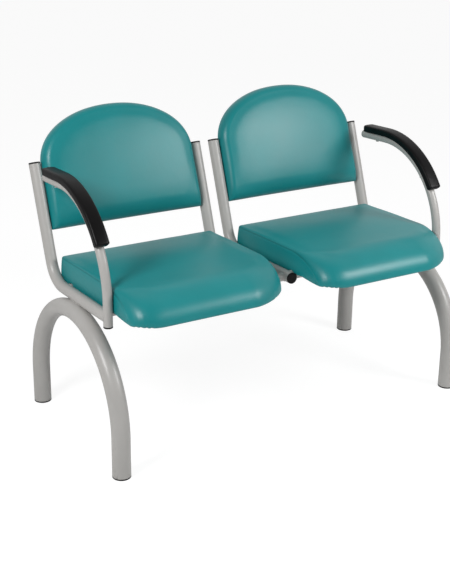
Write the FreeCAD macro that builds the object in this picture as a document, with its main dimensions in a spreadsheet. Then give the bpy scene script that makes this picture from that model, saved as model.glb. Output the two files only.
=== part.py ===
import FreeCAD, Part
import math
import os

import Sketcher
from FreeCAD import Matrix, Placement, Rotation, Vector

# Two-seat beam seating: two arch legs carry a welded tube frame with two seat pads, two back pads
# and an arm at each end. Millimetres, +X along the row, -Y to the front, +Z up from the floor.

SIZES = [
    ("link_span", 63.3, "between the axes of the two inner rails"),
    ("rail_side", 14.5, "from the side of a seat pad out to the axis of the side tube beside it"),
    ("rail_tube", 32.0, "outside diameter of a side tube"),
    ("rail_wall", 2.0, "wall of a side tube"),
    ("rail_reach", 167.7, "from the middle of the legs forward to the front face of an inner rail's cap"),
    ("rail_straight", 266.3, "straight length of a rail behind its cap"),
    ("rail_tilt", 1.9, "degrees that the rails rise to the front"),
    ("back_bend", 80.0, "radius of the bend between rail and back tube"),
    ("back_straight", 274.5, "straight length of a back tube above its bend"),
    ("back_lean", 20.0, "degrees that the back tubes lean from upright"),
    ("leg_tube", 50.0, "outside diameter of an arch leg"),
    ("leg_wall", 2.5, "wall of an arch leg"),
    ("leg_span", 522.6, "between the axes of an arch's two feet"),
    ("leg_straight", 107.0, "upright length of an arch above its glides"),
    ("leg_outset", 11.5, "from the axis of an outer rail out to the arch under it"),
    ("saddle_bite", 1.9, "depth that a rail sinks into the notch in its arch"),
    ("glide_flange", 4.0, "thickness of a glide below the leg"),
    ("glide_plug", 22.0, "length of a glide's plug inside the leg"),
    ("arm_tube", 25.0, "outside diameter of an arm"),
    ("arm_wall", 2.0, "wall of an arm"),
    ("post_ahead", 9.3, "from the front face of an inner rail's cap forward to the axis of an arm post"),
    ("post_drop", 27.5, "from the rail's axis down to the bottom of an arm post"),
    ("post_straight", 62.0, "straight length of an arm post above its cap"),
    ("arm_bend", 250.0, "radius of the long bend of an arm"),
    ("arm_turn", 93.0, "degrees that the long bend turns"),
    ("arm_tail", 104.0, "straight length of an arm behind its bend"),
    ("cap_flange", 2.5, "thickness of a tube cap"),
    ("cap_plug", 14.0, "length of a cap's plug inside its tube"),
    ("cross_tube", 25.0, "outside diameter of a cross tube"),
    ("cross_wall", 2.0, "wall of a cross tube"),
    ("front_cross", 26.7, "from the front end of an inner rail back to the front cross tube"),
    ("rear_cross", 250.0, "from the front end of an inner rail back to the rear cross tube"),
    ("seat_width", 482.0, "width of a seat pad"),
    ("seat_depth", 472.0, "front to back of a seat pad"),
    ("seat_overhang", 152.0, "from the front end of an inner rail forward to the front of a seat pad"),
    ("seat_thick", 63.0, "from the underside of a seat pad to its top seam"),
    ("seat_droop", 6.0, "drop of a seat pad's underside from its front cross tube to its front"),
    ("seat_crown", 7.0, "rise of a seat pad's middle over its top seam"),
    ("seat_nose", 78.0, "length over which the front of a seat pad rolls down"),
    ("seat_left_corner", 44.0, "reach of a seat pad's tight front left corner, seen from above"),
    ("seat_right_corner", 130.0, "width of a seat pad's broad front right corner, seen from above"),
    ("seat_right_sweep", 98.0, "depth of a seat pad's broad front right corner, seen from above"),
    ("seat_rear_corner", 20.0, "corner radius of a seat pad at the rear, seen from above"),
    ("seat_edge", 9.0, "rounding of a seat pad's top edge along the side"),
    ("seat_tuck", 7.0, "draw-in of a seat pad's underside along the side"),
    ("seat_rake", 14.0, "draw-in of a seat pad's top at the rear"),
    ("seat_board", 12.0, "thickness of a seat board"),
    ("seat_rim", 9.0, "width of pad around a seat board"),
    ("liner", 1.0, "thickness of a seat liner and of a back cover"),
    ("liner_rim", 5.0, "width of pad left bare around a back cover"),
    ("back_gap", 4.5, "between a back pad and the side tubes"),
    ("back_side", 177.0, "height of a back pad's straight sides"),
    ("back_arch", 156.0, "rise of a back pad's arched top over its sides"),
    ("back_shoulder", 15.0, "from the top of a side tube down to where a back pad starts to arch"),
    ("back_hollow", 1.5, "rise of a back pad's lower edge at its middle"),
    ("back_behind", 6.0, "from the side tubes' axes back to the rear face of a back pad"),
    ("back_flank", 5.0, "from the side tubes' axes forward to where a back pad rounds over"),
    ("back_round", 28.0, "rounding of a back pad's front edge"),
    ("back_lip", 1.0, "least swell of a back pad over its flank"),
    ("back_crown", 9.0, "rise of a back pad's middle over its rounded edge"),
    ("back_corner", 12.0, "corner radius of a back pad's lower corners"),
    ("back_board", 10.0, "thickness of a back board"),
    ("back_rim", 10.0, "width of pad around a back board"),
    ("arm_pad_width", 40.0, "width of an arm pad"),
    ("arm_pad_lift", 11.0, "from the arm's axis up to the underside of its pad"),
    ("arm_pad_thick", 20.0, "thickness of an arm pad"),
    ("arm_pad_round", 6.0, "rounding of an arm pad's upper edges"),
    ("arm_pad_foot", 33.0, "degrees up the long bend at which an arm pad starts"),
    ("arm_pad_tail", 94.0, "length of an arm pad behind the long bend"),
    ("tab_width", 40.0, "width of a mounting tab"),
    ("tab_length", 46.0, "reach of a seat tab from its cross tube's axis"),
    ("tab_thick", 4.0, "thickness of a mounting tab"),
    ("tab_hole_set", 28.0, "from a cross tube's axis to the screw in its tab"),
    ("tab_spread", 300.0, "between the two screws of one cross tube, along the row"),
    ("lug_length", 56.0, "reach of a back lug from its side tube's axis"),
    ("lug_hole_set", 42.0, "from a side tube's axis to the screw in its lug"),
    ("lug_height", 30.0, "height of a back lug"),
    ("lug_low", 45.0, "from a back pad's lower edge up to its lower screws"),
    ("lug_rise", 110.0, "from a back pad's lower screws up to its upper screws"),
    ("screw", 6.0, "shank diameter of a pad screw"),
    ("screw_head", 12.0, "head diameter of a pad screw"),
    ("screw_head_thick", 3.6, "head height of a pad screw"),
    ("screw_grip", 8.0, "depth that a pad screw reaches into its board"),
    ("tee_barrel", 8.4, "barrel diameter of a tee nut"),
    ("tee_flange", 18.0, "flange diameter of a tee nut"),
    ("tee_flange_thick", 1.5, "flange thickness of a tee nut"),
    ("arm_screw", 4.5, "shank diameter of an arm pad screw"),
    ("arm_screw_head", 9.0, "head diameter of an arm pad screw"),
    ("arm_screw_head_thick", 2.4, "head height of an arm pad screw"),
    ("arm_screw_depth", 12.0, "depth that an arm pad screw reaches into its pad"),
    ("arm_screw_low", 46.0, "degrees up the long bend of the lower arm pad screw"),
    ("arm_screw_tail", 40.0, "from the end of the long bend back to the upper arm pad screw"),
    ("seat_fit", 0.3, "gap between curved faces that seat on each other"),
    ("plug_fit", 0.3, "radial clearance of a plug in its tube"),
    ("hole_fit", 0.5, "radial clearance of a screw in its hole"),
    ("board_fit", 0.5, "gap between a board and the pad around it"),
]


class Size:
    """A number worked out from the sheet, with the sheet expression that says how."""

    def __init__(self, text, value):
        self.text = text
        self.value = value

    def joined(self, sign, other, value):
        other_text = other.text if isinstance(other, Size) else repr(float(other))
        return Size(f"({self.text} {sign} {other_text})", value)

    def __add__(self, other):
        return self.joined("+", other, self.value + float(other))

    def __sub__(self, other):
        return self.joined("-", other, self.value - float(other))

    def __mul__(self, other):
        return self.joined("*", other, self.value * float(other))

    def __truediv__(self, other):
        return self.joined("/", other, self.value / float(other))

    def __neg__(self):
        return Size(f"(0 - {self.text})", -self.value)

    def __float__(self):
        return float(self.value)


def make_sheet(document):
    """Fills the sheet and returns its cells as a name-to-Size dictionary."""
    sheet = document.addObject("Spreadsheet::Sheet", "sizes")
    cells = {}
    for row, (alias, value, meaning) in enumerate(SIZES, start=1):
        sheet.set(f"A{row}", meaning)
        sheet.set(f"B{row}", str(value))
        sheet.setAlias(f"B{row}", alias)
        cells[alias] = Size(f"sizes.{alias}", value)
    return cells


doc = FreeCAD.newDocument("beam_seating")
size = make_sheet(doc)
doc.recompute()

LEFT, RIGHT = -1, 1
SOFT = 2.4
SLACK = 1.38
SIDES = {"left": LEFT, "right": RIGHT}


# Places worked out from the sheet

def number(name):
    return float(size[name])


tilt = math.radians(number("rail_tilt"))
lean = math.radians(number("back_lean"))
back_turn = size["rail_tilt"] - size["back_lean"] + 90.0

leg_radius = size["leg_span"] / 2
arch_top = number("glide_flange") + number("leg_straight") + float(leg_radius)
axis_gap = (number("leg_tube") + number("rail_tube")) / 2 - number("saddle_bite")
rail_over_legs = arch_top + math.sqrt(axis_gap ** 2 - number("leg_outset") ** 2) / math.cos(tilt)
rail_spacing = size["seat_width"] + size["rail_side"] * 2
seat_pitch = rail_spacing + size["link_span"]
rail_half = float(rail_spacing) / 2
seat_x = float(seat_pitch) / 2
outer_x = seat_x + rail_half
inner_x = seat_x - rail_half
leg_x = outer_x + number("leg_outset")

rail_front = Vector(0, -number("rail_reach"), rail_over_legs + number("rail_reach") * math.tan(tilt))
rail_along = Vector(0, math.cos(tilt), -math.sin(tilt))
rail_up = Vector(0, math.sin(tilt), math.cos(tilt))
back_along = Vector(0, math.sin(lean), math.cos(lean))
back_forward = Vector(0, -math.cos(lean), math.sin(lean))

bend_tangent = number("back_bend") * math.tan(math.radians(float(back_turn)) / 2)
back_corner_point = rail_front + rail_along * (number("cap_flange") + number("rail_straight") + bend_tangent)
back_top = back_corner_point + back_along * (bend_tangent + number("back_straight") + number("cap_flange"))

arm_post = rail_front - rail_along * number("post_ahead")
post_foot = arm_post - Vector(0, 0, number("post_drop"))
arm_turn = math.radians(number("arm_turn"))
arm_centre = post_foot + Vector(0, number("arm_bend"), number("cap_flange") + number("post_straight"))
arm_bend_end = arm_centre + Vector(0, -math.cos(arm_turn), math.sin(arm_turn)) * number("arm_bend")
arm_tail_along = Vector(0, math.sin(arm_turn), math.cos(arm_turn))
arm_end = arm_bend_end + arm_tail_along * (number("arm_tail") + number("cap_flange"))


def axes(origin, x_axis, y_axis, z_axis):
    """The placement whose own axes point along the three given directions."""
    return Placement(Matrix(
        x_axis.x, y_axis.x, z_axis.x, origin.x,
        x_axis.y, y_axis.y, z_axis.y, origin.y,
        x_axis.z, y_axis.z, z_axis.z, origin.z,
        0, 0, 0, 1))


def turned(origin, z_axis):
    """A placement at origin whose Z points along a direction in the YZ plane and whose X is the row's X."""
    return axes(origin, Vector(1, 0, 0), z_axis.cross(Vector(1, 0, 0)), z_axis)


def seat_frame(middle_x, along=0.0, up=0.0):
    """Rail axes: X along the row, Y back along the rail, Z square to it, from the rails' front ends."""
    origin = rail_front + rail_along * along + rail_up * up + Vector(middle_x, 0, 0)
    return axes(origin, Vector(1, 0, 0), rail_along, rail_up)


def back_frame(middle_x, along=0.0, forward=0.0):
    """Back axes: X along the row, Y up the back tubes from their tops, Z to the front."""
    origin = back_top + back_along * along + back_forward * forward + Vector(middle_x, 0, 0)
    return axes(origin, Vector(1, 0, 0), back_along, back_forward)


# Building blocks

def origin_plane(body, role):
    return next(plane for plane in body.Origin.OriginFeatures if plane.Role == role)


def new_sketch(body, name, role):
    sketch = body.newObject("Sketcher::SketchObject", name)
    sketch.AttachmentSupport = [(origin_plane(body, role), "")]
    sketch.MapMode = "FlatFace"
    return sketch


def bound(sketch, constraint, amount):
    """Adds a constraint whose value follows the sheet."""
    index = sketch.addConstraint(constraint)
    sketch.setExpression(f"Constraints[{index}]", amount.text)


def rings(sketch, radii):
    """Concentric circles about the sketch's origin."""
    for index, radius in enumerate(radii):
        sketch.addGeometry(Part.Circle(Vector(), Vector(0, 0, 1), float(radius)))
        sketch.addConstraint(Sketcher.Constraint("Coincident", index, 3, -1, 1))
        bound(sketch, Sketcher.Constraint("Radius", index, float(radius)), radius)


def outline(sketch, corners):
    """A closed outline of straight lines whose corners are pairs of sizes from the sketch's origin."""
    points = [Vector(float(x), float(y), 0) for x, y in corners]
    count = len(points)
    for index in range(count):
        sketch.addGeometry(Part.LineSegment(points[index], points[(index + 1) % count]))
    for index, (x, y) in enumerate(corners):
        sketch.addConstraint(Sketcher.Constraint("Coincident", index, 1, (index - 1) % count, 2))
        for amount, kind, axis in ((x, "DistanceX", -2), (y, "DistanceY", -1)):
            if isinstance(amount, Size):
                bound(sketch, Sketcher.Constraint(kind, -1, 1, index, 1, float(amount)), amount)
            else:
                sketch.addConstraint(Sketcher.Constraint("PointOnObject", index, 1, axis))


def bent_tube(name, tube, wall, lead, bend, turn, tail):
    """A tube from the origin: straight up Z, round a bend towards +Y, and straight on."""
    body = doc.addObject("PartDesign::Body", name + "_body")
    section = new_sketch(body, name + "_section", "XY_Plane")
    rings(section, [tube / 2, tube / 2 - wall])
    path = new_sketch(body, name + "_path", "YZ_Plane")
    centre = Vector(float(bend), float(lead), 0)
    angle = math.radians(float(turn))
    bend_end = centre + Vector(-math.cos(angle), math.sin(angle), 0) * float(bend)
    tail_end = bend_end + Vector(math.sin(angle), math.cos(angle), 0) * float(tail)
    path.addGeometry(Part.LineSegment(Vector(), Vector(0, float(lead), 0)))
    circle = Part.Circle(centre, Vector(0, 0, 1), float(bend))
    path.addGeometry(Part.ArcOfCircle(circle, math.pi - angle, math.pi))
    path.addGeometry(Part.LineSegment(bend_end, tail_end))
    path.addConstraint(Sketcher.Constraint("Coincident", 0, 1, -1, 1))
    path.addConstraint(Sketcher.Constraint("Vertical", 0))
    path.addConstraint(Sketcher.Constraint("Tangent", 0, 2, 1, 2))
    path.addConstraint(Sketcher.Constraint("Tangent", 1, 1, 2, 1))
    bound(path, Sketcher.Constraint("Distance", 0, float(lead)), lead)
    bound(path, Sketcher.Constraint("Radius", 1, float(bend)), bend)
    bound(path, Sketcher.Constraint("Angle", 1, angle), turn)
    bound(path, Sketcher.Constraint("Distance", 2, float(tail)), tail)
    doc.recompute()
    pipe = body.newObject("PartDesign::AdditivePipe", name + "_pipe")
    pipe.Profile = section
    pipe.Spine = (path, ["Edge1", "Edge2", "Edge3"])
    return body


def straight_tube(name, tube, wall, length):
    """A tube along X, centred on the origin."""
    body = doc.addObject("PartDesign::Body", name + "_body")
    section = new_sketch(body, name + "_section", "YZ_Plane")
    rings(section, [tube / 2, tube / 2 - wall])
    pad = body.newObject("PartDesign::Pad", name + "_pad")
    pad.Profile = section
    pad.setExpression("Length", length.text)
    pad.SideType = "Symmetric"
    return body


def turned_piece(name, corners):
    """A piece turned about Z from a half outline of radius and height pairs."""
    body = doc.addObject("PartDesign::Body", name + "_body")
    half = new_sketch(body, name + "_half", "XZ_Plane")
    outline(half, corners)
    turn = body.newObject("PartDesign::Revolution", name + "_turn")
    turn.Profile = half
    turn.ReferenceAxis = (half, ["V_Axis"])
    turn.Angle = 360
    return body


def plate(name, width, height, thick, mid_plane_x=True):
    """A flat plate: width along X, height along Y from the origin, thickness down from Z zero."""
    body = doc.addObject("PartDesign::Body", name + "_body")
    face = new_sketch(body, name + "_face", "XY_Plane")
    left = -(width / 2) if mid_plane_x else 0
    right = width / 2 if mid_plane_x else width
    outline(face, [(left, 0), (right, 0), (right, height), (left, height)])
    pad = body.newObject("PartDesign::Pad", name + "_pad")
    pad.Profile = face
    pad.setExpression("Length", thick.text)
    pad.Reversed = True
    return body


def cylinder(name, radius, height, placement):
    piece = doc.addObject("Part::Cylinder", name)
    piece.setExpression("Radius", radius.text)
    piece.setExpression("Height", height.text)
    piece.Placement = placement
    return piece


def cut(name, base, tools):
    """Takes every tool away from base."""
    result = base
    for index, tool in enumerate(tools):
        step = doc.addObject("Part::Cut", f"{name}_cut_{index}")
        step.Base = result
        step.Tool = tool
        result = step
    return result


def group(name, members):
    together = doc.addObject("Part::Compound", name + "_group")
    together.Links = members
    return together


def shaped(name, shape, placement):
    """A form that neither sketches nor primitives give, in its own axes."""
    feature = doc.addObject("Part::Feature", name + "_form")
    feature.Shape = shape
    feature.Placement = placement
    return feature


subparts = {}


def keep(name, feature):
    """Names a finished sub-part."""
    feature.Label = name
    subparts[name] = feature


# Arch legs and glides

def rail_tool(name, x, grow, length):
    """A solid bar along a rail's straight axis, wider than the tube by grow all round."""
    start = seat_frame(x, along=-length / 4)
    return cylinder(name, size["rail_tube"] / 2 + grow, Size(repr(length), length),
                    turned(start.Base, rail_along))


def arch_leg(side_name, side):
    name = "arch_leg_" + side_name
    arch = bent_tube(name, size["leg_tube"], size["leg_wall"], size["leg_straight"], leg_radius,
                     Size("180", 180.0), size["leg_straight"])
    foot = Vector(side * leg_x, -float(leg_radius), number("glide_flange"))
    arch.Placement = Placement(foot, Rotation())
    rail = rail_tool(name + "_notch", side * outer_x, size["seat_fit"], number("leg_span"))
    keep(name, cut(name, arch, [rail]))


def glide(side_name, side, end_name, end):
    name = f"glide_{end_name}_{side_name}"
    bore = size["leg_tube"] / 2 - size["leg_wall"]
    plug = bore - size["plug_fit"]
    chamfer = size["glide_flange"] / 4
    flange = size["leg_tube"] / 2
    top = size["glide_flange"] + size["glide_plug"]
    body = turned_piece(name, [
        (0, 0), (flange - chamfer, 0), (flange, chamfer), (flange, size["glide_flange"]),
        (plug, size["glide_flange"]), (plug, top), (0, top)])
    body.Placement = Placement(Vector(side * leg_x, end * float(leg_radius), 0), Rotation())
    keep(name, body)


# Side tubes: rail and back in one bent length

def side_tube(name, x, extra):
    """extra is the length that an outer rail runs on to its arm post."""
    body = bent_tube(name, size["rail_tube"], size["rail_wall"], size["rail_straight"] + extra,
                     size["back_bend"], back_turn, size["back_straight"])
    start = seat_frame(x, along=number("cap_flange") - float(extra)).Base
    body.Placement = axes(start, Vector(-1, 0, 0), rail_up, rail_along)
    return body


def side_tubes():
    for side_name, side in SIDES.items():
        inner = side_tube("side_tube_inner_" + side_name, side * inner_x, size["cap_flange"] * 0)
        keep("side_tube_inner_" + side_name, inner)
        name = "side_tube_outer_" + side_name
        outer = side_tube(name, side * outer_x, size["cap_flange"] + size["post_ahead"])
        post_length = size["rail_tube"] * 3
        post_foot_tool = Vector(side * outer_x, arm_post.y, arm_post.z - float(post_length) / 2)
        post = cylinder(name + "_cope", size["arm_tube"] / 2 + size["seat_fit"], post_length,
                        Placement(post_foot_tool, Rotation()))
        keep(name, cut(name, outer, [post]))


def tube_cap(name, tube, wall, placement):
    """A flat cap on a tube's end with a plug in its bore; Z points out of the tube."""
    plug = tube / 2 - wall - size["plug_fit"]
    chamfer = size["cap_flange"] / 4
    flange = tube / 2
    body = turned_piece(name, [
        (0, -size["cap_plug"]), (plug, -size["cap_plug"]), (plug, 0), (flange, 0),
        (flange, size["cap_flange"] - chamfer), (flange - chamfer, size["cap_flange"]),
        (0, size["cap_flange"])])
    body.Placement = placement
    keep(name, body)


def tube_caps():
    for side_name, side in SIDES.items():
        for place, x in (("outer", outer_x), ("inner", inner_x)):
            seat = back_top - back_along * number("cap_flange") + Vector(side * x, 0, 0)
            tube_cap(f"top_cap_{place}_{side_name}", size["rail_tube"], size["rail_wall"],
                     turned(seat, back_along))
        seat = seat_frame(side * inner_x, along=number("cap_flange")).Base
        tube_cap("rail_cap_" + side_name, size["rail_tube"], size["rail_wall"],
                 turned(seat, rail_along * -1))
        seat = post_foot + Vector(side * outer_x, 0, number("cap_flange"))
        tube_cap("post_cap_" + side_name, size["arm_tube"], size["arm_wall"],
                 turned(seat, Vector(0, 0, -1)))
        seat = arm_end - arm_tail_along * number("cap_flange") + Vector(side * outer_x, 0, 0)
        tube_cap("arm_cap_" + side_name, size["arm_tube"], size["arm_wall"],
                 turned(seat, arm_tail_along))


# Arms and their pads

def bend_place(x, degrees, radial=0.0):
    """A point on the arm's long bend, degrees up from the post, pushed outward by radial."""
    angle = math.radians(degrees)
    outward = Vector(0, -math.cos(angle), math.sin(angle))
    return arm_centre + outward * (number("arm_bend") + radial) + Vector(x, 0, 0), outward


def arm_screw_places(x):
    """Where the two screws of an arm pad cross the arm's axis, and which way is up the screw."""
    low, low_up = bend_place(x, number("arm_screw_low"))
    tail_up = Vector(0, -arm_tail_along.z, arm_tail_along.y)
    high = arm_bend_end + arm_tail_along * number("arm_screw_tail") + Vector(x, 0, 0)
    return [(low, low_up), (high, tail_up)]


def arm_holes(name, x):
    """Round bars that bore the arm and its pad for the arm pad screws."""
    holes = []
    length = size["arm_tube"] + size["arm_pad_lift"] + size["arm_screw_depth"]
    for index, (point, upward) in enumerate(arm_screw_places(x)):
        start = point - upward * number("arm_tube")
        holes.append(cylinder(f"{name}_hole_{index}", size["arm_screw"] / 2 + size["hole_fit"],
                              length, turned(start, upward)))
    return holes


def arm(side_name, side):
    name = "arm_" + side_name
    body = bent_tube(name, size["arm_tube"], size["arm_wall"], size["post_straight"],
                     size["arm_bend"], size["arm_turn"], size["arm_tail"])
    body.Placement = Placement(post_foot + Vector(side * outer_x, 0, number("cap_flange")), Rotation())
    keep(name, cut(name, body, arm_holes(name, side * outer_x)))


def arm_pad_section(centre, outward):
    """The pad's section across the arm: a block with rounded upper edges and a groove for the tube."""
    across = Vector(1, 0, 0)
    half = number("arm_pad_width") / 2
    low = number("arm_pad_lift")
    high = low + number("arm_pad_thick")
    round_over = number("arm_pad_round")
    groove = number("arm_tube") / 2 + number("seat_fit")
    notch = math.sqrt(groove ** 2 - low ** 2)
    diagonal = round_over * (1 - math.sqrt(0.5))

    def at(x, y):
        return centre + across * x + outward * y

    edges = [
        Part.LineSegment(at(notch, low), at(half, low)),
        Part.LineSegment(at(half, low), at(half, high - round_over)),
        Part.Arc(at(half, high - round_over), at(half - diagonal, high - diagonal),
                 at(half - round_over, high)),
        Part.LineSegment(at(half - round_over, high), at(round_over - half, high)),
        Part.Arc(at(round_over - half, high), at(diagonal - half, high - diagonal),
                 at(-half, high - round_over)),
        Part.LineSegment(at(-half, high - round_over), at(-half, low)),
        Part.LineSegment(at(-half, low), at(-notch, low)),
        Part.Arc(at(-notch, low), at(0, groove), at(notch, low)),
    ]
    return Part.Face(Part.Wire([edge.toShape() for edge in edges]))


def arm_pad(side_name, side):
    name = "arm_pad_" + side_name
    x = side * outer_x
    foot, foot_up = bend_place(x, number("arm_pad_foot"))
    curved = arm_pad_section(foot, foot_up).revolve(
        arm_centre + Vector(x, 0, 0), Vector(-1, 0, 0), number("arm_turn") - number("arm_pad_foot"))
    knee, knee_up = bend_place(x, number("arm_turn"))
    straight = arm_pad_section(knee, knee_up).extrude(arm_tail_along * number("arm_pad_tail"))
    pad = shaped(name, curved.fuse(straight).removeSplitter(), Placement())
    keep(name, cut(name, pad, arm_holes(name, x)))


def arm_pad_screws(side_name, side):
    """Round-headed screws that come up through the arm into its pad."""
    name = "arm_pad_screws_" + side_name
    head_seat = size["arm_tube"] / 2 + size["seat_fit"]
    length = head_seat + size["arm_pad_lift"] + size["arm_screw_depth"]
    screws = []
    for index, (point, upward) in enumerate(arm_screw_places(side * outer_x)):
        head_top = point - upward * float(head_seat)
        head_foot = head_top - upward * number("arm_screw_head_thick")
        head = cylinder(f"{name}_head_{index}", size["arm_screw_head"] / 2,
                        size["arm_screw_head_thick"], turned(head_foot, upward))
        shank = cylinder(f"{name}_shank_{index}", size["arm_screw"] / 2, length,
                         turned(head_top, upward))
        screws.append(fused(f"{name}_{index}", head, shank))
    keep(name, group(name, screws))


def fused(name, base, tool):
    joined = doc.addObject("Part::Fuse", name)
    joined.Base = base
    joined.Tool = tool
    return joined


# Cross tubes between the side tubes

def cross_tubes():
    spans = {
        "left": (-seat_x, rail_spacing, (-outer_x, -inner_x)),
        "link": (0.0, size["link_span"], (-inner_x, inner_x)),
        "right": (seat_x, rail_spacing, (inner_x, outer_x)),
    }
    for row_name, along in (("front", "front_cross"), ("rear", "rear_cross")):
        for span_name, (middle, length, ends) in spans.items():
            name = f"cross_tube_{row_name}_{span_name}"
            body = straight_tube(name, size["cross_tube"], size["cross_wall"], length)
            body.Placement = seat_frame(middle, along=number(along))
            tools = [rail_tool(f"{name}_cope_{index}", x, size["seat_fit"], number("leg_span"))
                     for index, x in enumerate(ends)]
            keep(name, cut(name, body, tools))


# Pad screws, tee nuts and tabs

def pad_screw(name, grip, placement):
    """A pan-head screw; Z zero is under its head, the shank points along Z for grip."""
    half_head = size["screw_head"] / 2
    chamfer = size["screw_head_thick"] / 3
    body = turned_piece(name, [
        (0, -size["screw_head_thick"]), (half_head - chamfer, -size["screw_head_thick"]),
        (half_head, chamfer - size["screw_head_thick"]), (half_head, 0), (size["screw"] / 2, 0),
        (size["screw"] / 2, grip), (0, grip)])
    body.Placement = placement
    return body


def tee_nut(name, placement, board):
    """A flanged nut let into a board; Z zero is the board's inner face and Z points out of it."""
    bore = size["screw"] / 2 + size["plug_fit"]
    barrel = size["tee_barrel"] / 2
    depth = board - size["tee_flange_thick"]
    body = turned_piece(name, [
        (bore, 0), (size["tee_flange"] / 2, 0), (size["tee_flange"] / 2, size["tee_flange_thick"]),
        (barrel, size["tee_flange_thick"]), (barrel, depth), (bore, depth)])
    body.Placement = placement
    return body


def nut_holes(name, placement, board):
    """The bars that let a tee nut and its screw into a board."""
    flange = cylinder(name + "_flange", size["tee_flange"] / 2 + size["hole_fit"],
                      size["tee_flange_thick"], placement)
    barrel = cylinder(name + "_barrel", size["tee_barrel"] / 2 + size["plug_fit"], board, placement)
    return [flange, barrel]


def screw_hole(name, placement, depth):
    return cylinder(name, size["screw"] / 2 + size["hole_fit"], depth, placement)


# Seats

seat_base = size["cross_tube"] / 2 + size["seat_fit"]
seat_floor = float(seat_base) + number("liner")


def drawn_in(x, half, reach, depth, power=SOFT):
    """How far a corner of that reach and depth draws an outline in at x, on the side where x is positive."""
    past = max(0.0, x - (half - reach)) / reach
    return depth * (1 - max(0.0, 1 - past ** power) ** (1 / power))


def corner_inset(x, half, radius):
    """How far a pair of even soft corners draws an outline in at x."""
    return drawn_in(abs(x), half, radius, radius)


def seat_stations(half):
    """Places across a seat pad, crowded where its corners turn."""
    left = number("seat_left_corner")
    right = number("seat_right_corner")
    places = [-half + left * step for step in (0, 0.05, 0.2, 0.45, 0.8, 1.3)]
    places += [0.0]
    places += [half - right * step for step in (1.2, 0.85, 0.55, 0.32, 0.16, 0.07, 0.02, 0)]
    return places


def seat_section(x):
    """One upright slice of a seat pad, front to back, at x: flat below, rolled down at the front."""
    half = number("seat_width") / 2
    overhang = number("seat_overhang")
    front = drawn_in(-x, half, number("seat_left_corner"), number("seat_left_corner")) - overhang
    front += drawn_in(x, half, number("seat_right_corner"), number("seat_right_sweep"), SLACK)
    rear = number("seat_depth") - overhang - corner_inset(x, half, number("seat_rear_corner"))
    floor = seat_floor + corner_inset(x, half, number("seat_tuck"))
    low = floor - number("seat_droop")
    edge = number("seat_edge")
    dome = 1 - 0.9 * (x / half) ** 2
    high = seat_floor + number("seat_thick") - corner_inset(x, half, edge)
    crest = high + number("seat_crown") * dome
    nose = number("seat_nose")
    rake = number("seat_rake")

    def at(y, z):
        return Vector(x, y, z)

    def roll(turn):
        angle = math.radians(turn)
        climb = (high - low - edge / 2) * math.cos(angle)
        return at(front + nose * (1 - math.sin(angle)), low + edge / 2 + climb)

    shoulder = at(rear - rake - edge, high)
    corner_mid = at(rear - rake - edge * 0.25, high - edge * 0.3)
    heel = at(rear - rake * 0.7, high - edge)
    level = at(number("front_cross") - number("cross_tube"), floor)
    edges = [
        Part.LineSegment(at(front + edge / 2, low), level),
        Part.LineSegment(level, at(rear - edge / 4, floor)),
        Part.Arc(at(rear - edge / 4, floor), at(rear, (floor + high) / 2 - edge), heel),
        Part.Arc(heel, corner_mid, shoulder),
        Part.Arc(shoulder, at((front + nose + rear - rake - edge) / 2, crest), roll(0)),
        Part.Arc(roll(0), roll(25), roll(50)),
        Part.Arc(roll(50), roll(72), roll(90)),
        Part.LineSegment(roll(90), at(front + edge / 2, low)),
    ]
    return Part.Wire([edge.toShape() for edge in edges])


def seat_pad_form():
    half = number("seat_width") / 2
    sections = [seat_section(x) for x in seat_stations(half)]
    return Part.makeLoft(sections, True, False)


def seat_screw_places():
    """The four screws of a seat, from its middle: along the row, along the rail."""
    half = number("tab_spread") / 2
    front = number("front_cross") + number("tab_hole_set")
    rear = number("rear_cross") - number("tab_hole_set")
    return [(x, y) for y in (front, rear) for x in (-half, half)]


def seat_board_form(inset, thick):
    """A flat board with a seat pad's outline, drawn in by inset and kept back from its nose."""
    half = number("seat_width") / 2 - inset
    front = number("seat_nose") / 2 - number("seat_overhang")
    rear = number("seat_depth") - number("seat_overhang") - inset
    left = number("seat_left_corner")
    right = number("seat_right_corner")
    sweep = number("seat_right_sweep")
    small = number("seat_rear_corner") - inset / 2
    turn = 1 - math.sqrt(0.5)
    slack_turn = 0.42

    def corner(x, y, along_x, along_y, share):
        return Part.Arc(Vector(x, y + along_y, 0), Vector(x + along_x * share, y + along_y * share, 0),
                        Vector(x + along_x, y, 0))

    def side(x_from, y_from, x_to, y_to):
        return Part.LineSegment(Vector(x_from, y_from, 0), Vector(x_to, y_to, 0))

    edges = [
        corner(-half, front, left, left, turn),
        side(left - half, front, half - right, front),
        corner(half, front, -right, sweep, slack_turn),
        side(half, front + sweep, half, rear - small),
        corner(half, rear, -small, -small, turn),
        side(half - small, rear, small - half, rear),
        corner(-half, rear, small, -small, turn),
        side(-half, rear - small, -half, front + left),
    ]
    outer = Part.Wire(Part.__sortEdges__([edge.toShape() for edge in edges]))
    return Part.Face(outer).extrude(Vector(0, 0, thick))


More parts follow.
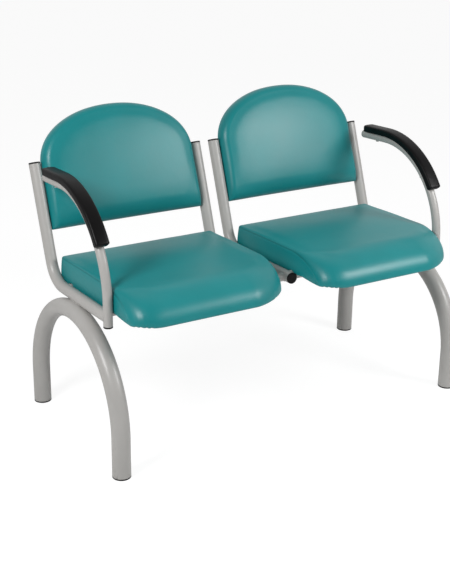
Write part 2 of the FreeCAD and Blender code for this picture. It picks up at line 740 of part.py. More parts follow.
def seat(seat_name, middle):
    board_name = "seat_board_" + seat_name
    holes, pocket_tools, screws, nuts, tabs, liner_holes = [], [], [], [], [], []
    for index, (x, y) in enumerate(seat_screw_places()):
        tag = f"{seat_name}_{index}"
        up_place = seat_frame(middle + x, along=y, up=float(seat_base) - number("tab_thick"))
        top_place = seat_frame(middle + x, along=y, up=seat_floor + number("seat_board"))
        down_place = Placement(top_place.Base, top_place.Rotation * Rotation(Vector(1, 0, 0), 180))
        holes += nut_holes("seat_nut_hole_" + tag, down_place, size["seat_board"])
        nuts.append(tee_nut("seat_tee_nut_" + tag, down_place, size["seat_board"]))
        grip = size["tab_thick"] + size["liner"] + size["screw_grip"]
        screws.append(pad_screw("seat_screw_" + tag, grip, up_place))
        liner_holes.append(screw_hole("seat_liner_hole_" + tag, up_place, size["tab_thick"] * 2))
        tabs.append(seat_tab("seat_tab_" + tag, middle + x, y, up_place))

    rim = number("seat_rim")
    board_thick = number("seat_board")
    board = shaped(board_name, seat_board_form(rim, board_thick), seat_frame(middle, up=seat_floor))
    keep(board_name, cut(board_name, board, holes))

    cushion_name = "seat_cushion_" + seat_name
    form = shaped(cushion_name, seat_pad_form(), seat_frame(middle))
    deep = number("seat_tuck") + number("seat_droop")
    pocket = shaped(cushion_name + "_pocket",
                    seat_board_form(rim - number("board_fit"), board_thick + deep),
                    seat_frame(middle, up=seat_floor - deep))
    keep(cushion_name, cut(cushion_name, form, [pocket]))

    liner_name = "seat_liner_" + seat_name
    liner = shaped(liner_name, seat_board_form(rim, number("liner")),
                   seat_frame(middle, up=float(seat_base)))
    keep(liner_name, cut(liner_name, liner, liner_holes))

    keep("seat_tabs_" + seat_name, group("seat_tabs_" + seat_name, tabs))
    keep("seat_screws_" + seat_name, group("seat_screws_" + seat_name, screws))
    keep("seat_tee_nuts_" + seat_name, group("seat_tee_nuts_" + seat_name, nuts))


def seat_tab(name, x, screw_y, screw_place):
    """A flat tab welded along a cross tube, with a hole for one seat screw."""
    front = screw_y < (number("front_cross") + number("rear_cross")) / 2
    cross = number("front_cross") if front else number("rear_cross")
    body = plate(name, size["tab_width"], size["tab_length"], size["tab_thick"])
    origin = seat_frame(x, along=cross, up=float(seat_base)).Base
    if front:
        body.Placement = axes(origin, Vector(1, 0, 0), rail_along, rail_up)
    else:
        body.Placement = axes(origin, Vector(-1, 0, 0), rail_along * -1, rail_up)
    bar_start = seat_frame(x - number("tab_width"), along=cross).Base
    bar = cylinder(name + "_cope", size["cross_tube"] / 2 + size["seat_fit"], size["tab_width"] * 2,
                   axes(bar_start, Vector(0, 1, 0), Vector(0, 0, 1), Vector(1, 0, 0)))
    hole = screw_hole(name + "_hole", screw_place, size["tab_thick"])
    return cut(name, body, [bar, hole])


# Backs

back_half = (rail_spacing - size["rail_tube"]) / 2 - size["back_gap"]
back_low = -(number("back_side") + number("back_shoulder"))


def back_outline_top(x, half, rise):
    """Height of the arched top over the shoulder at x: half an ellipse."""
    return rise * math.sqrt(max(0.0, 1 - (x / half) ** 2))


def back_section(x):
    """One slice of a back pad across its face at x: flat behind, flanks, rounded edges and crown."""
    half = float(back_half)
    low = back_low + number("back_hollow") * (1 - (x / half) ** 2)
    low += corner_inset(x, half, number("back_corner"))
    high = back_outline_top(x, half, number("back_arch")) - number("back_shoulder")
    round_over = number("back_round")
    flank = number("back_flank")
    edge = round_over - corner_inset(x, half, round_over)
    lip = number("back_lip")
    bulge = lip + edge
    span = high - low
    crest = number("back_crown") * (1 - (x / half) ** 2) * min(1.0, span / number("back_side"))
    rear = number("back_behind") - number("liner")
    bend = min(round_over, span / 3)
    diagonal = 1 - math.sqrt(0.5)

    def at(up, forward):
        return Vector(x, up, forward)

    face = flank + bulge
    edges = [
        Part.LineSegment(at(high, -rear), at(low, -rear)),
        Part.LineSegment(at(low, -rear), at(low, flank)),
        Part.Arc(at(low, flank), at(low + bend * diagonal, face - bulge * diagonal), at(low + bend, face)),
        Part.Arc(at(low + bend, face), at((low + high) / 2, face + crest + lip / 2), at(high - bend, face)),
        Part.Arc(at(high - bend, face), at(high - bend * diagonal, face - bulge * diagonal), at(high, flank)),
        Part.LineSegment(at(high, flank), at(high, -rear)),
    ]
    return Part.Wire([edge.toShape() for edge in edges])


def back_stations(half):
    """Places across a back pad, spaced so that its arched top turns evenly between them."""
    angles = [0, 12, 24, 36, 48, 60, 75, 90]
    steps = [half * math.cos(math.radians(angle)) for angle in angles]
    return [-step for step in steps] + list(reversed(steps[:-1]))


def back_pad_form():
    sections = [back_section(x) for x in back_stations(float(back_half))]
    return Part.makeLoft(sections, True, False)


def back_board_form(inset, thick):
    """A flat board with the pad's outline drawn in by inset, from Z zero towards the front."""
    half = float(back_half) - inset
    rise = number("back_arch") - inset
    shoulder = -number("back_shoulder")
    low = back_low + number("back_hollow") + inset
    ellipse = Part.Ellipse(Vector(0, shoulder, 0), half, rise)
    corner = number("back_corner") - inset / 2
    diagonal = corner * (1 - math.sqrt(0.5))
    edges = [
        Part.ArcOfEllipse(ellipse, 0, math.pi),
        Part.LineSegment(Vector(-half, shoulder, 0), Vector(-half, low + corner, 0)),
        Part.Arc(Vector(-half, low + corner, 0), Vector(diagonal - half, low + diagonal, 0),
                 Vector(corner - half, low, 0)),
        Part.LineSegment(Vector(corner - half, low, 0), Vector(half - corner, low, 0)),
        Part.Arc(Vector(half - corner, low, 0), Vector(half - diagonal, low + diagonal, 0),
                 Vector(half, low + corner, 0)),
        Part.LineSegment(Vector(half, low + corner, 0), Vector(half, shoulder, 0)),
    ]
    face = Part.Face(Part.Wire([edge.toShape() for edge in edges]))
    return face.extrude(Vector(0, 0, thick))


def back_screw_places():
    """The four screws of a back, from its middle: along the row, up the back, side tube beside it."""
    set_in = number("lug_hole_set")
    low = back_low + number("lug_low")
    return [(side * (rail_half - set_in), up, side)
            for up in (low, low + number("lug_rise")) for side in (LEFT, RIGHT)]


def back_lug(name, middle, up, side, screw_place):
    """A flat lug welded to a back tube, with a hole for one back screw."""
    body = plate(name, size["lug_length"], size["lug_height"], size["tab_thick"], mid_plane_x=False)
    tube_x = middle + side * rail_half
    origin = back_frame(tube_x, along=up, forward=-number("back_behind")).Base
    inward = Vector(-side, 0, 0)
    upward = back_along * -side
    foot = origin - upward * (number("lug_height") / 2)
    body.Placement = axes(foot, inward, upward, back_forward)
    bar_start = back_frame(tube_x, along=up - number("lug_height")).Base
    bar = cylinder(name + "_cope", size["rail_tube"] / 2 + size["seat_fit"], size["lug_height"] * 2,
                   turned(bar_start, back_along))
    hole = screw_hole(name + "_hole", screw_place, size["tab_thick"])
    return cut(name, body, [bar, hole])


def back(seat_name, middle):
    rear = number("back_behind")
    holes, screws, nuts, lugs, cover_holes = [], [], [], [], []
    for index, (x, up, side) in enumerate(back_screw_places()):
        tag = f"{seat_name}_{index}"
        outer_face = rear + number("tab_thick")
        screw_place = turned(back_frame(middle + x, along=up, forward=-outer_face).Base, back_forward)
        inner_face = number("back_board") - (rear - number("liner"))
        nut_place = turned(back_frame(middle + x, along=up, forward=inner_face).Base, back_forward * -1)
        holes += nut_holes("back_nut_hole_" + tag, nut_place, size["back_board"])
        nuts.append(tee_nut("back_tee_nut_" + tag, nut_place, size["back_board"]))
        grip = size["tab_thick"] + size["liner"] + size["screw_grip"]
        screws.append(pad_screw("back_screw_" + tag, grip, screw_place))
        cover_holes.append(screw_hole("back_cover_hole_" + tag, screw_place, size["tab_thick"] * 2))
        lugs.append(back_lug("back_lug_" + tag, middle, up, side, screw_place))

    rim = number("back_rim")
    board_name = "back_board_" + seat_name
    inner = back_frame(middle, forward=number("liner") - rear)
    board = shaped(board_name, back_board_form(rim, number("back_board")), inner)
    keep(board_name, cut(board_name, board, holes))

    cushion_name = "back_cushion_" + seat_name
    form = shaped(cushion_name, back_pad_form(), back_frame(middle))
    pocket = shaped(cushion_name + "_pocket",
                    back_board_form(rim - number("board_fit"), number("back_board") + number("liner")),
                    back_frame(middle, forward=-rear))
    keep(cushion_name, cut(cushion_name, form, [pocket]))

    cover_name = "back_cover_" + seat_name
    cover = shaped(cover_name, back_board_form(number("liner_rim"), number("liner")),
                   back_frame(middle, forward=-rear))
    keep(cover_name, cut(cover_name, cover, cover_holes))

    keep("back_lugs_" + seat_name, group("back_lugs_" + seat_name, lugs))
    keep("back_screws_" + seat_name, group("back_screws_" + seat_name, screws))
    keep("back_tee_nuts_" + seat_name, group("back_tee_nuts_" + seat_name, nuts))


def build():
    for side_name, side in SIDES.items():
        arch_leg(side_name, side)
        for end_name, end in (("front", -1), ("rear", 1)):
            glide(side_name, side, end_name, end)
        arm(side_name, side)
        arm_pad(side_name, side)
        arm_pad_screws(side_name, side)
    side_tubes()
    tube_caps()
    cross_tubes()
    for seat_name, side in SIDES.items():
        seat(seat_name, side * seat_x)
        back(seat_name, side * seat_x)


def check():
    """Stops if any object failed to build or any sub-part has no sound solid."""
    for item in doc.Objects:
        if "Invalid" in item.State or "Error" in item.State:
            raise RuntimeError(f"{item.Name} did not build: {item.State}")
    for name, feature in subparts.items():
        if feature.Shape.isNull() or not feature.Shape.isValid() or not feature.Shape.Solids:
            raise RuntimeError(f"{name} has no sound solid")


def origin_shift():
    """How far the model moves along Y so that the origin is under the middle of its box."""
    boxes = [feature.Shape.optimalBoundingBox(False, False) for feature in subparts.values()]
    return -(min(box.YMin for box in boxes) + max(box.YMax for box in boxes)) / 2


def export():
    os.makedirs("parts", exist_ok=True)
    shift = Placement(Vector(0, origin_shift(), 0), Rotation())
    for name, feature in subparts.items():
        shape = feature.Shape.copy()
        shape.Placement = shift * shape.Placement
        shape.exportStep(f"parts/{name}.step")
        print(f"{name}: {len(shape.Solids)} solid(s), {shape.Volume / 1000:.2f} cm3")


build()
doc.recompute()
check()
export()
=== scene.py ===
"""Two-seat beam seating: the finish of its bent tube frame, padded seats and backs, and padded arms."""

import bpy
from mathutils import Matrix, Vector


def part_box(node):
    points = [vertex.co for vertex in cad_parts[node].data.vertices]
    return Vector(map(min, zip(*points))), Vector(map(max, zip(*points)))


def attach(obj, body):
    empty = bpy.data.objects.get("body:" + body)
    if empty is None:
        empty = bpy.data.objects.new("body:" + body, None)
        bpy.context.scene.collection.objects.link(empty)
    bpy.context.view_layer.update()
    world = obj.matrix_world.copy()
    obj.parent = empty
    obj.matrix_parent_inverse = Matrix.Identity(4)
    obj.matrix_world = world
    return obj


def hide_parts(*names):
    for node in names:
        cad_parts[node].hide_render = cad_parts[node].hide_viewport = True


bl_info = {
    "name": "Beam seating",
    "version": (1, 0, 0),
    "blender": (4, 5, 0),
    "location": "3D View > Sidebar > Seating",
    "description": "Dresses the packed frame of a two-seat bench with tubes, welds, pads and finishes",
    "category": "Object",
}

import math
from types import SimpleNamespace

import bmesh
import bpy
import numpy as np
from bpy.props import FloatProperty, FloatVectorProperty, IntProperty, PointerProperty
from mathutils import Matrix, Vector
from mathutils.kdtree import KDTree

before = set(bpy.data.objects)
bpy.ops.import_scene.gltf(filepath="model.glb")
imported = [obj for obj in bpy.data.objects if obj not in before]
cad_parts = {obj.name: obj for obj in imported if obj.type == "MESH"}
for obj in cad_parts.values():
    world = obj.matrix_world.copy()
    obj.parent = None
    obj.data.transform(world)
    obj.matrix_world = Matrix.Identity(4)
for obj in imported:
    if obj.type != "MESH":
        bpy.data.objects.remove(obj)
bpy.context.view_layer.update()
BODY = "root"
SIDES = {"left": -1, "right": 1}
ACROSS = np.array([1.0, 0.0, 0.0])
SAME_PLACE = 1e-6
TINY = 1e-9

# Powers p of the rounded outlines |x|^p + |y|^p = 1: 2 is an ellipse, and less cuts the corner more
LEFT_POWER = 2.0
RIGHT_POWER = 1.45
ARCH_POWER = 2.08

# What the tubes' ends hide: plugs and the gaps round them
CAP_PLUG = 0.014
CAP_PLUG_INSET = 0.0023
GLIDE_PLUG = 0.022
GLIDE_PLUG_INSET = 0.003

# Places of the pleats along a seat pad's front edge, from its left side and from its right side
LEFT_PLEATS = (0.030, 0.043, 0.057, 0.070)
RIGHT_PLEATS = (0.030, 0.043, 0.055, 0.069, 0.084)

# Cloth points that a point of a pad listens to
NEIGHBOURS = 90

WHITE = (1.0, 1.0, 1.0, 1.0)

# Sockets of the node that mixes two colours
MIX_SHARE, MIX_FIRST, MIX_SECOND, MIX_RESULT = 0, 6, 7, 2


def middle(node):
    """The middle of a node's box, as an array."""
    low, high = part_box(node)
    return np.array((low + high) / 2)


# Sizes and colours that a user would change

def length(name, description, default):
    return FloatProperty(name=name, description=description, default=default, min=0.0, precision=4,
                         unit="LENGTH")


def angle(name, description, degrees):
    return FloatProperty(name=name, description=description, default=math.radians(degrees),
                         unit="ROTATION", subtype="ANGLE")


def amount(name, description, default):
    return FloatProperty(name=name, description=description, default=default, min=0.0, subtype="FACTOR")


def watts(name, description, default):
    return FloatProperty(name=name, description=description, default=default, min=0.0, unit="POWER")


def linear(red, green, blue):
    """A colour as it looks on screen, from 0 to 255, as the shader's own numbers."""
    share = np.array([red, green, blue]) / 255
    return tuple(np.where(share <= 0.04045, share / 12.92, ((share + 0.055) / 1.055) ** 2.4))


def colour(name, description, red, green, blue):
    return FloatVectorProperty(name=name, description=description, default=linear(red, green, blue),
                               min=0.0, max=1.0, subtype="COLOR")


class SeatingTubes(bpy.types.PropertyGroup):
    """Sizes of the steel frame."""
    leg_tube: length("Leg tube", "Outside diameter of an arch leg", 0.050)
    leg_span: length("Leg span", "Between the axes of an arch's two feet", 0.5226)
    leg_straight: length("Leg straight", "Upright length of an arch above its glides", 0.107)
    leg_outset: length("Leg outset", "From the axis of an outer rail out to the arch under it", 0.0115)
    saddle_bite: length("Saddle bite", "Depth that a rail sinks into its arch", 0.0019)
    glide: length("Glide", "Thickness of a glide below the leg", 0.004)
    rail_tube: length("Rail tube", "Outside diameter of a side tube", 0.032)
    rail_reach: length("Rail reach", "From the middle of the legs to the front of an inner rail", 0.1677)
    rail_straight: length("Rail straight", "Straight length of a rail behind its cap", 0.2648)
    rail_tilt: angle("Rail tilt", "Rise of the rails to the front", 1.9)
    back_bend: length("Back bend", "Radius of the bend between rail and back tube", 0.080)
    back_straight: length("Back straight", "Straight length of a back tube", 0.2730)
    back_lean: angle("Back lean", "Lean of the back tubes from upright", 20.0)
    arm_tube: length("Arm tube", "Outside diameter of an arm", 0.025)
    post_ahead: length("Post ahead", "From an inner rail's front to the axis of an arm post", 0.0093)
    post_drop: length("Post drop", "From a rail's axis down to the foot of an arm post", 0.0275)
    post_straight: length("Post straight", "Straight length of an arm post above its cap", 0.0605)
    arm_bend: length("Arm bend", "Radius of the long bend of an arm", 0.250)
    arm_turn: angle("Arm turn", "Turn of the long bend of an arm", 93.0)
    arm_tail: length("Arm tail", "Straight length of an arm behind its bend", 0.1025)
    cap: length("Cap", "Thickness of a tube cap", 0.0040)
    cross_tube: length("Cross tube", "Outside diameter of a cross tube", 0.025)
    front_cross: length("Front cross", "From an inner rail's front to the front cross tube", 0.0267)
    rear_cross: length("Rear cross", "From an inner rail's front to the rear cross tube", 0.250)
    weld: length("Weld", "Radius of a weld bead", 0.0017)


class SeatingPads(bpy.types.PropertyGroup):
    """Sizes of the padded pieces."""
    seat_width: length("Seat width", "Width of a seat pad", 0.482)
    seat_depth: length("Seat depth", "Front to back of a seat pad", 0.472)
    seat_overhang: length("Seat overhang", "From the inner rails' front to a seat pad's front", 0.152)
    seat_lift: length("Seat lift", "From the rails' axes up to the underside of a seat pad", 0.0138)
    seat_thick: length("Seat thickness", "From the underside of a seat pad to its side seam", 0.063)
    seat_droop: length("Seat droop", "Drop of a seat pad's underside at its front", 0.0135)
    seat_crown: length("Seat crown", "Rise of a seat pad's middle over its seam", 0.007)
    seat_nose: length("Seat nose", "Length over which the front of a seat pad rolls down", 0.110)
    seam_nose: length("Seam nose", "Length over which the side seam runs down to the front", 0.130)
    left_corner: length("Left corner", "Width of the tight front left corner of a seat pad", 0.078)
    left_sweep: length("Left sweep", "Depth of the tight front left corner of a seat pad", 0.056)
    right_corner: length("Right corner", "Width of the broad front right corner of a seat pad", 0.131)
    right_sweep: length("Right sweep", "Depth of the broad front right corner of a seat pad", 0.096)
    rear_corner: length("Rear corner", "Corner radius of a seat pad at the rear", 0.005)
    seat_edge: length("Seat edge", "Rounding of a seat pad's top edge", 0.006)
    seat_tuck: length("Seat tuck", "Rounding of a seat pad's lower edge", 0.006)
    side_tuck: length("Side tuck", "Rounding of a seat pad's lower edge at its sides", 0.0035)
    seat_lip: length("Seat lip", "How far the cover wraps down beside the rails", 0.008)
    nose_lip: length("Nose lip", "How far the cover wraps down at the sides before the rails", 0.003)
    lip_reach: length("Lip reach", "Width of the wrapped edge under a seat pad", 0.012)
    notch: length("Notch", "Half width of the openings in the wrapped edge for the cross tubes", 0.011)
    rail_clear: length("Rail clear", "Least gap from a seat pad to a rail", 0.0004)
    seat_rake: length("Seat rake", "Draw-in of a seat pad's top at the rear", 0.006)
    side_belly: length("Side belly", "Swell of a seat pad's side panel", 0.0015)
    seam_depth: length("Seam depth", "Depth of the stitched side seam", 0.0009)
    seam_width: length("Seam width", "Half width of the stitched side seam", 0.0012)
    pleat_depth: length("Pleat depth", "Depth of the small pleats under the front corners", 0.0022)
    back_half: length("Back half width", "Half the width of a back pad", 0.2385)
    back_side: length("Back side", "Height of a back pad's straight sides", 0.177)
    back_arch: length("Back arch", "Rise of a back pad's arched top", 0.1565)
    back_shoulder: length("Back shoulder", "From the top of a side tube down to the arch", 0.015)
    back_behind: length("Back behind", "From the side tubes' axes to a back pad's rear face", 0.005)
    back_flank: length("Back flank", "From the side tubes' axes to where the pad rounds over", 0.005)
    back_round: length("Back rounding", "Rise of a back pad's rounded front edge", 0.029)
    back_edge: length("Back edge", "Width of a back pad's rounded front edge", 0.020)
    back_foot: length("Back foot", "Rounding of a back pad's lower edge", 0.046)
    back_spread: length("Back spread", "Width over which a back pad's edge eases into its face", 0.085)
    back_lip: length("Back lip", "Part of the rounding's height that is eased so", 0.005)
    back_crown: length("Back crown", "Rise of a back pad's middle over its rounded edge", 0.007)
    back_corner: length("Back corner", "Corner radius of a back pad's lower corners", 0.004)
    pad_width: length("Arm pad width", "Width of an arm pad", 0.040)
    pad_lift: length("Arm pad lift", "From the arm's axis up to its pad", 0.011)
    pad_thick: length("Arm pad thickness", "Thickness of an arm pad", 0.020)
    pad_round: length("Arm pad rounding", "Rounding of an arm pad's upper edges", 0.006)
    pad_foot: angle("Arm pad foot", "Place up the long bend at which an arm pad starts", 33.0)
    pad_tail: length("Arm pad tail", "Length of an arm pad behind the long bend", 0.089)
    cover_cell: length("Cover cell", "Cell of the cloth that is blown up", 0.009)
    cover_calm: length("Cover calm", "Distance over which the cloth's moves are evened out", 0.028)
    pressure: amount("Pressure", "Pressure of the filling", 4.0)
    fill_frames: IntProperty(name="Fill frames", description="Frames over which a pad is filled",
                             default=20, min=2)
    swell_limit: length("Swell limit", "Furthest that the filling moves the cover", 0.003)


class SeatingFinish(bpy.types.PropertyGroup):
    """Colours of the finishes."""
    paint: colour("Frame paint", "Powder coat of the tubes", 169, 167, 164)
    vinyl: colour("Vinyl", "Cover of the seats and backs", 14, 125, 128)
    arm_pad: colour("Arm pad", "Moulded foam of the arm pads", 9, 8, 9)
    plastic: colour("Plastic", "Caps and glides", 12, 11, 11)
    plywood: colour("Plywood", "Boards in the pads", 190, 155, 112)
    cloth: colour("Liner cloth", "Liner under the seats", 38, 38, 40)
    cover: colour("Cover sheet", "Sheet behind the backs", 34, 36, 38)
    steel: colour("Steel", "Zinc-plated screws and nuts", 196, 196, 190)


class SeatingStudio(bpy.types.PropertyGroup):
    """Camera, lamps and floor."""
    camera_place: FloatVectorProperty(name="Camera place", description="Where the camera stands",
                                      default=(-1.72924, -2.69272, 1.54770), subtype="TRANSLATION",
                                      unit="LENGTH")
    camera_turn: angle("Camera turn", "Turn of the view from straight back to the right", 31.417)
    camera_dip: angle("Camera dip", "Downward tilt of the view", 20.44)
    camera_roll: angle("Camera roll", "Roll of the view", 0.715)
    camera_lens: FloatProperty(name="Lens", description="Focal length over a 36 mm long side",
                               default=74.84, unit="CAMERA")
    key: watts("Key", "Power of the soft lamp at the left", 44.0)
    side: watts("Side", "Power of the soft lamp at the right", 24.0)
    front: watts("Front", "Power of the soft lamp before the bench", 4.0)
    sky_ahead: amount("Sky before", "Level of the even light before and over the bench", 0.28)
    sky_behind: amount("Sky behind", "Level of the even light behind the bench", 0.75)
    floor: colour("Floor", "The plain pale floor", 230, 230, 230)


# Surfaces

def wave(low, high, count):
    """Places from low to high, closer together at both ends: low + (high - low) * (1 - cos) / 2."""
    turn = np.linspace(0, math.pi, count)
    return low + (high - low) * (1 - np.cos(turn)) / 2


def placed(points, origin, forward, upward):
    """Own axes to the frame: origin + x along the row + y along forward + z along upward."""
    return origin + points @ np.array([ACROSS, forward, upward])


def grid_faces(rows, columns, wrap_rows, wrap_columns):
    """Corner numbers of the four-sided faces of a grid, joined round where it wraps."""
    row = np.arange(rows if wrap_rows else rows - 1)[:, None]
    column = np.arange(columns if wrap_columns else columns - 1)[None, :]
    next_row = (row + 1) % rows
    next_column = (column + 1) % columns
    corners = [row * columns + column, row * columns + next_column,
               next_row * columns + next_column, next_row * columns + column]
    return np.stack(corners, axis=-1).reshape(-1, 4)


def make_mesh(name, grids, sharp=42.0, marks=None):
    """One closed mesh from grids of points: (points, wrap rows, wrap columns) each.

    marks holds amounts that go with the points by name, such as the share of a seam's depth, which the
    vinyl shows as painted shade."""
    points, faces, offset = [], [], 0
    for grid, wrap_rows, wrap_columns in grids:
        rows, columns = grid.shape[:2]
        points.append(grid.reshape(-1, 3))
        faces.append(grid_faces(rows, columns, wrap_rows, wrap_columns) + offset)
        offset += rows * columns
    mesh = bpy.data.meshes.new(name)
    mesh.from_pydata(np.concatenate(points).tolist(), [], np.concatenate(faces).tolist())
    for mark, amounts in (marks or {}).items():
        mesh.attributes.new(mark, "FLOAT", "POINT").data.foreach_set("value", amounts.reshape(-1))
    work = bmesh.new()
    work.from_mesh(mesh)
    bmesh.ops.remove_doubles(work, verts=work.verts, dist=SAME_PLACE)
    bmesh.ops.dissolve_degenerate(work, edges=work.edges, dist=SAME_PLACE)
    bmesh.ops.recalc_face_normals(work, faces=work.faces)
    work.to_mesh(mesh)
    work.free()
    mesh.shade_smooth()
    mesh.set_sharp_from_angle(angle=math.radians(sharp))
    return mesh


def add_object(name, data):
    """A new object in the scene."""
    made = bpy.data.objects.new(name, data)
    bpy.context.scene.collection.objects.link(made)
    return made


def piece(name, grids, material, slot, *nodes, sharp=42.0, marks=None):
    """Puts a finished piece in the scene, riding on the frame in place of its CAD nodes."""
    made = add_object(name, make_mesh(name, grids, sharp, marks))
    made.data.materials.append(material)
    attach(made, BODY)
    if nodes:
        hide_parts(*nodes)
    return made


def route(start, heading, runs, step=0.012, turn_step=2.5):
    """The axis of a bent tube in an upright plane. A run is (length,) straight or (radius, turn) round.

    A straight run adds start + s * (cos h, sin h); a round one turns h evenly about its centre."""
    points = [np.array([start])]
    place = np.array(start, dtype=float)
    for run in runs:
        if len(run) == 1:
            count = max(2, int(run[0] / step))
            ahead = np.linspace(0, run[0], count + 1)[1:, None]
            reach = place + ahead * np.array([math.cos(heading), math.sin(heading)])
        else:
            radius, turn = run
            count = max(2, int(abs(math.degrees(turn)) / turn_step))
            side = math.copysign(1, turn)
            centre = place + side * radius * np.array([-math.sin(heading), math.cos(heading)])
            heads = heading + np.linspace(0, turn, count + 1)[1:]
            reach = centre + side * radius * np.stack([np.sin(heads), -np.cos(heads)], axis=1)
            heading += turn
        points.append(reach)
        place = reach[-1]
    return np.concatenate(points)


def headings(path):
    """Unit direction along a path at each of its points."""
    along = np.gradient(path, axis=0)
    return along / np.linalg.norm(along, axis=1, keepdims=True)


def bent_tube(path, x, radius, chamfer=0.0008, sides=56, squeeze=None):
    """A round bar along a path at x: ring = axis + r (cos a across + sin a square to it), ends closed.

    squeeze gives the share of its width that the tube keeps at each point of the path."""
    along = headings(path)
    rows = np.concatenate([path[:1], path[:1], path, path[-1:], path[-1:]])
    ahead = np.concatenate([along[:1], along[:1], along, along[-1:], along[-1:]])
    radii = np.full(len(rows), radius)
    radii[[0, -1]] = 0
    radii[[1, -2]] = radius - chamfer
    rows[2] = rows[2] + ahead[2] * chamfer
    rows[-3] = rows[-3] - ahead[-3] * chamfer
    wide = np.ones(len(rows)) if squeeze is None else np.concatenate(
        [squeeze[:1], squeeze[:1], squeeze, squeeze[-1:], squeeze[-1:]])
    turn = np.linspace(0, 2 * math.pi, sides, endpoint=False)
    square = np.stack([-ahead[:, 1], ahead[:, 0]], axis=1)
    ring_x = x + (radii * wide)[:, None] * np.cos(turn)
    lift = radii[:, None] * np.sin(turn)
    ring_y = rows[:, :1] + lift * square[:, :1]
    ring_z = rows[:, 1:] + lift * square[:, 1:]
    return np.stack([ring_x, ring_y, ring_z], axis=-1), False, True


def lathe(profile, origin, axis, sides=56):
    """A turned piece: origin + height axis + radius (cos a across + sin a square to the axis)."""
    radius, height = np.array(profile, dtype=float).T
    turn = np.linspace(0, 2 * math.pi, sides, endpoint=False)
    axis = np.array(axis, dtype=float)
    square = np.cross(axis, ACROSS)
    ring = radius[:, None, None] * (np.cos(turn)[None, :, None] * ACROSS
                                    + np.sin(turn)[None, :, None] * square)
    return np.array(origin) + height[:, None, None] * axis + ring, False, True


def bead(path, outward, radius, ripple=0.16, pitch=0.0042, sides=10):
    """A weld bead: a round bar along a closed path, its radius r (1 + ripple |sin(pi run / pitch)|)."""
    along = np.roll(path, -1, axis=0) - np.roll(path, 1, axis=0)
    along = along / np.linalg.norm(along, axis=1, keepdims=True)
    outward = outward - along * np.sum(outward * along, axis=1, keepdims=True)
    outward = outward / np.linalg.norm(outward, axis=1, keepdims=True)
    square = np.cross(along, outward)
    run = np.concatenate([[0], np.cumsum(np.linalg.norm(np.diff(path, axis=0), axis=1))])
    swell = radius * (1 + ripple * np.abs(np.sin(math.pi * run / pitch)))
    turn = np.linspace(0, 2 * math.pi, sides, endpoint=False)
    ring = np.cos(turn)[None, :, None] * outward[:, None] + np.sin(turn)[None, :, None] * square[:, None]
    return path[:, None] + swell[:, None, None] * ring, True, True


# Places of the frame

def layout(tubes):
    """Places and directions of the tubes' axes in the upright plane (y, z), and the tubes' x."""
    at = SimpleNamespace()
    at.outer_x = middle("side_tube_outer_right")[0]
    at.inner_x = middle("side_tube_inner_right")[0]
    at.leg_x = middle("arch_leg_right")[0]
    at.seat_x = (at.outer_x + at.inner_x) / 2
    at.middle_y = middle("arch_leg_right")[1]
    at.leg_radius = tubes.leg_span / 2
    at.arch_centre = np.array([at.middle_y, tubes.glide + tubes.leg_straight])
    tilt = tubes.rail_tilt
    gap = (tubes.leg_tube + tubes.rail_tube) / 2 - tubes.saddle_bite
    lift = math.sqrt(gap ** 2 - tubes.leg_outset ** 2) / math.cos(tilt)
    rail_z = at.arch_centre[1] + at.leg_radius + lift
    at.rail_front = np.array([at.middle_y - tubes.rail_reach,
                              rail_z + tubes.rail_reach * math.tan(tilt)])
    at.rail_along = np.array([math.cos(tilt), -math.sin(tilt)])
    at.rail_up = np.array([math.sin(tilt), math.cos(tilt)])
    at.back_turn = math.pi / 2 + tilt - tubes.back_lean
    at.back_along = np.array([math.sin(tubes.back_lean), math.cos(tubes.back_lean)])
    at.back_forward = np.array([-math.cos(tubes.back_lean), math.sin(tubes.back_lean)])
    tangent = tubes.back_bend * math.tan(at.back_turn / 2)
    corner = at.rail_front + at.rail_along * (tubes.cap + tubes.rail_straight + tangent)
    at.back_top = corner + at.back_along * (tangent + tubes.back_straight + tubes.cap)
    at.post = at.rail_front - at.rail_along * tubes.post_ahead
    at.post_foot = at.post - np.array([0, tubes.post_drop])
    at.arm_centre = at.post_foot + np.array([tubes.arm_bend, tubes.cap + tubes.post_straight])
    at.arm_tail_along = np.array([math.sin(tubes.arm_turn), math.cos(tubes.arm_turn)])
    at.arm_knee = at.arm_centre + tubes.arm_bend * np.array([-math.cos(tubes.arm_turn),
                                                            math.sin(tubes.arm_turn)])
    at.arm_end = at.arm_knee + at.arm_tail_along * (tubes.arm_tail + tubes.cap)
    return at


def upright(place, x=0.0):
    """A place of the upright plane as a point of the frame."""
    return np.array([x, place[0], place[1]])


# Finishes

class Value:
    """A number of a material that differs from place to place; sums with it become Math nodes."""

    def __init__(self, graph, socket):
        self.graph = graph
        self.socket = socket

    def maths(self, operation, *terms):
        return self.graph.value(0, "ShaderNodeMath", {"operation": operation}, dict(enumerate(terms)))

    def __add__(self, other):
        return self.maths("ADD", self, other)

    def __radd__(self, other):
        return self.maths("ADD", other, self)

    def __sub__(self, other):
        return self.maths("SUBTRACT", self, other)

    def __rsub__(self, other):
        return self.maths("SUBTRACT", other, self)

    def __mul__(self, other):
        return self.maths("MULTIPLY", self, other)

    def __rmul__(self, other):
        return self.maths("MULTIPLY", other, self)

    def ramp(self, low, high):
        """0 below low and 1 above high, evenly between them."""
        return self.graph.value(0, "ShaderNodeMapRange", {"clamp": True},
                                {"Value": self, "From Min": low, "From Max": high})


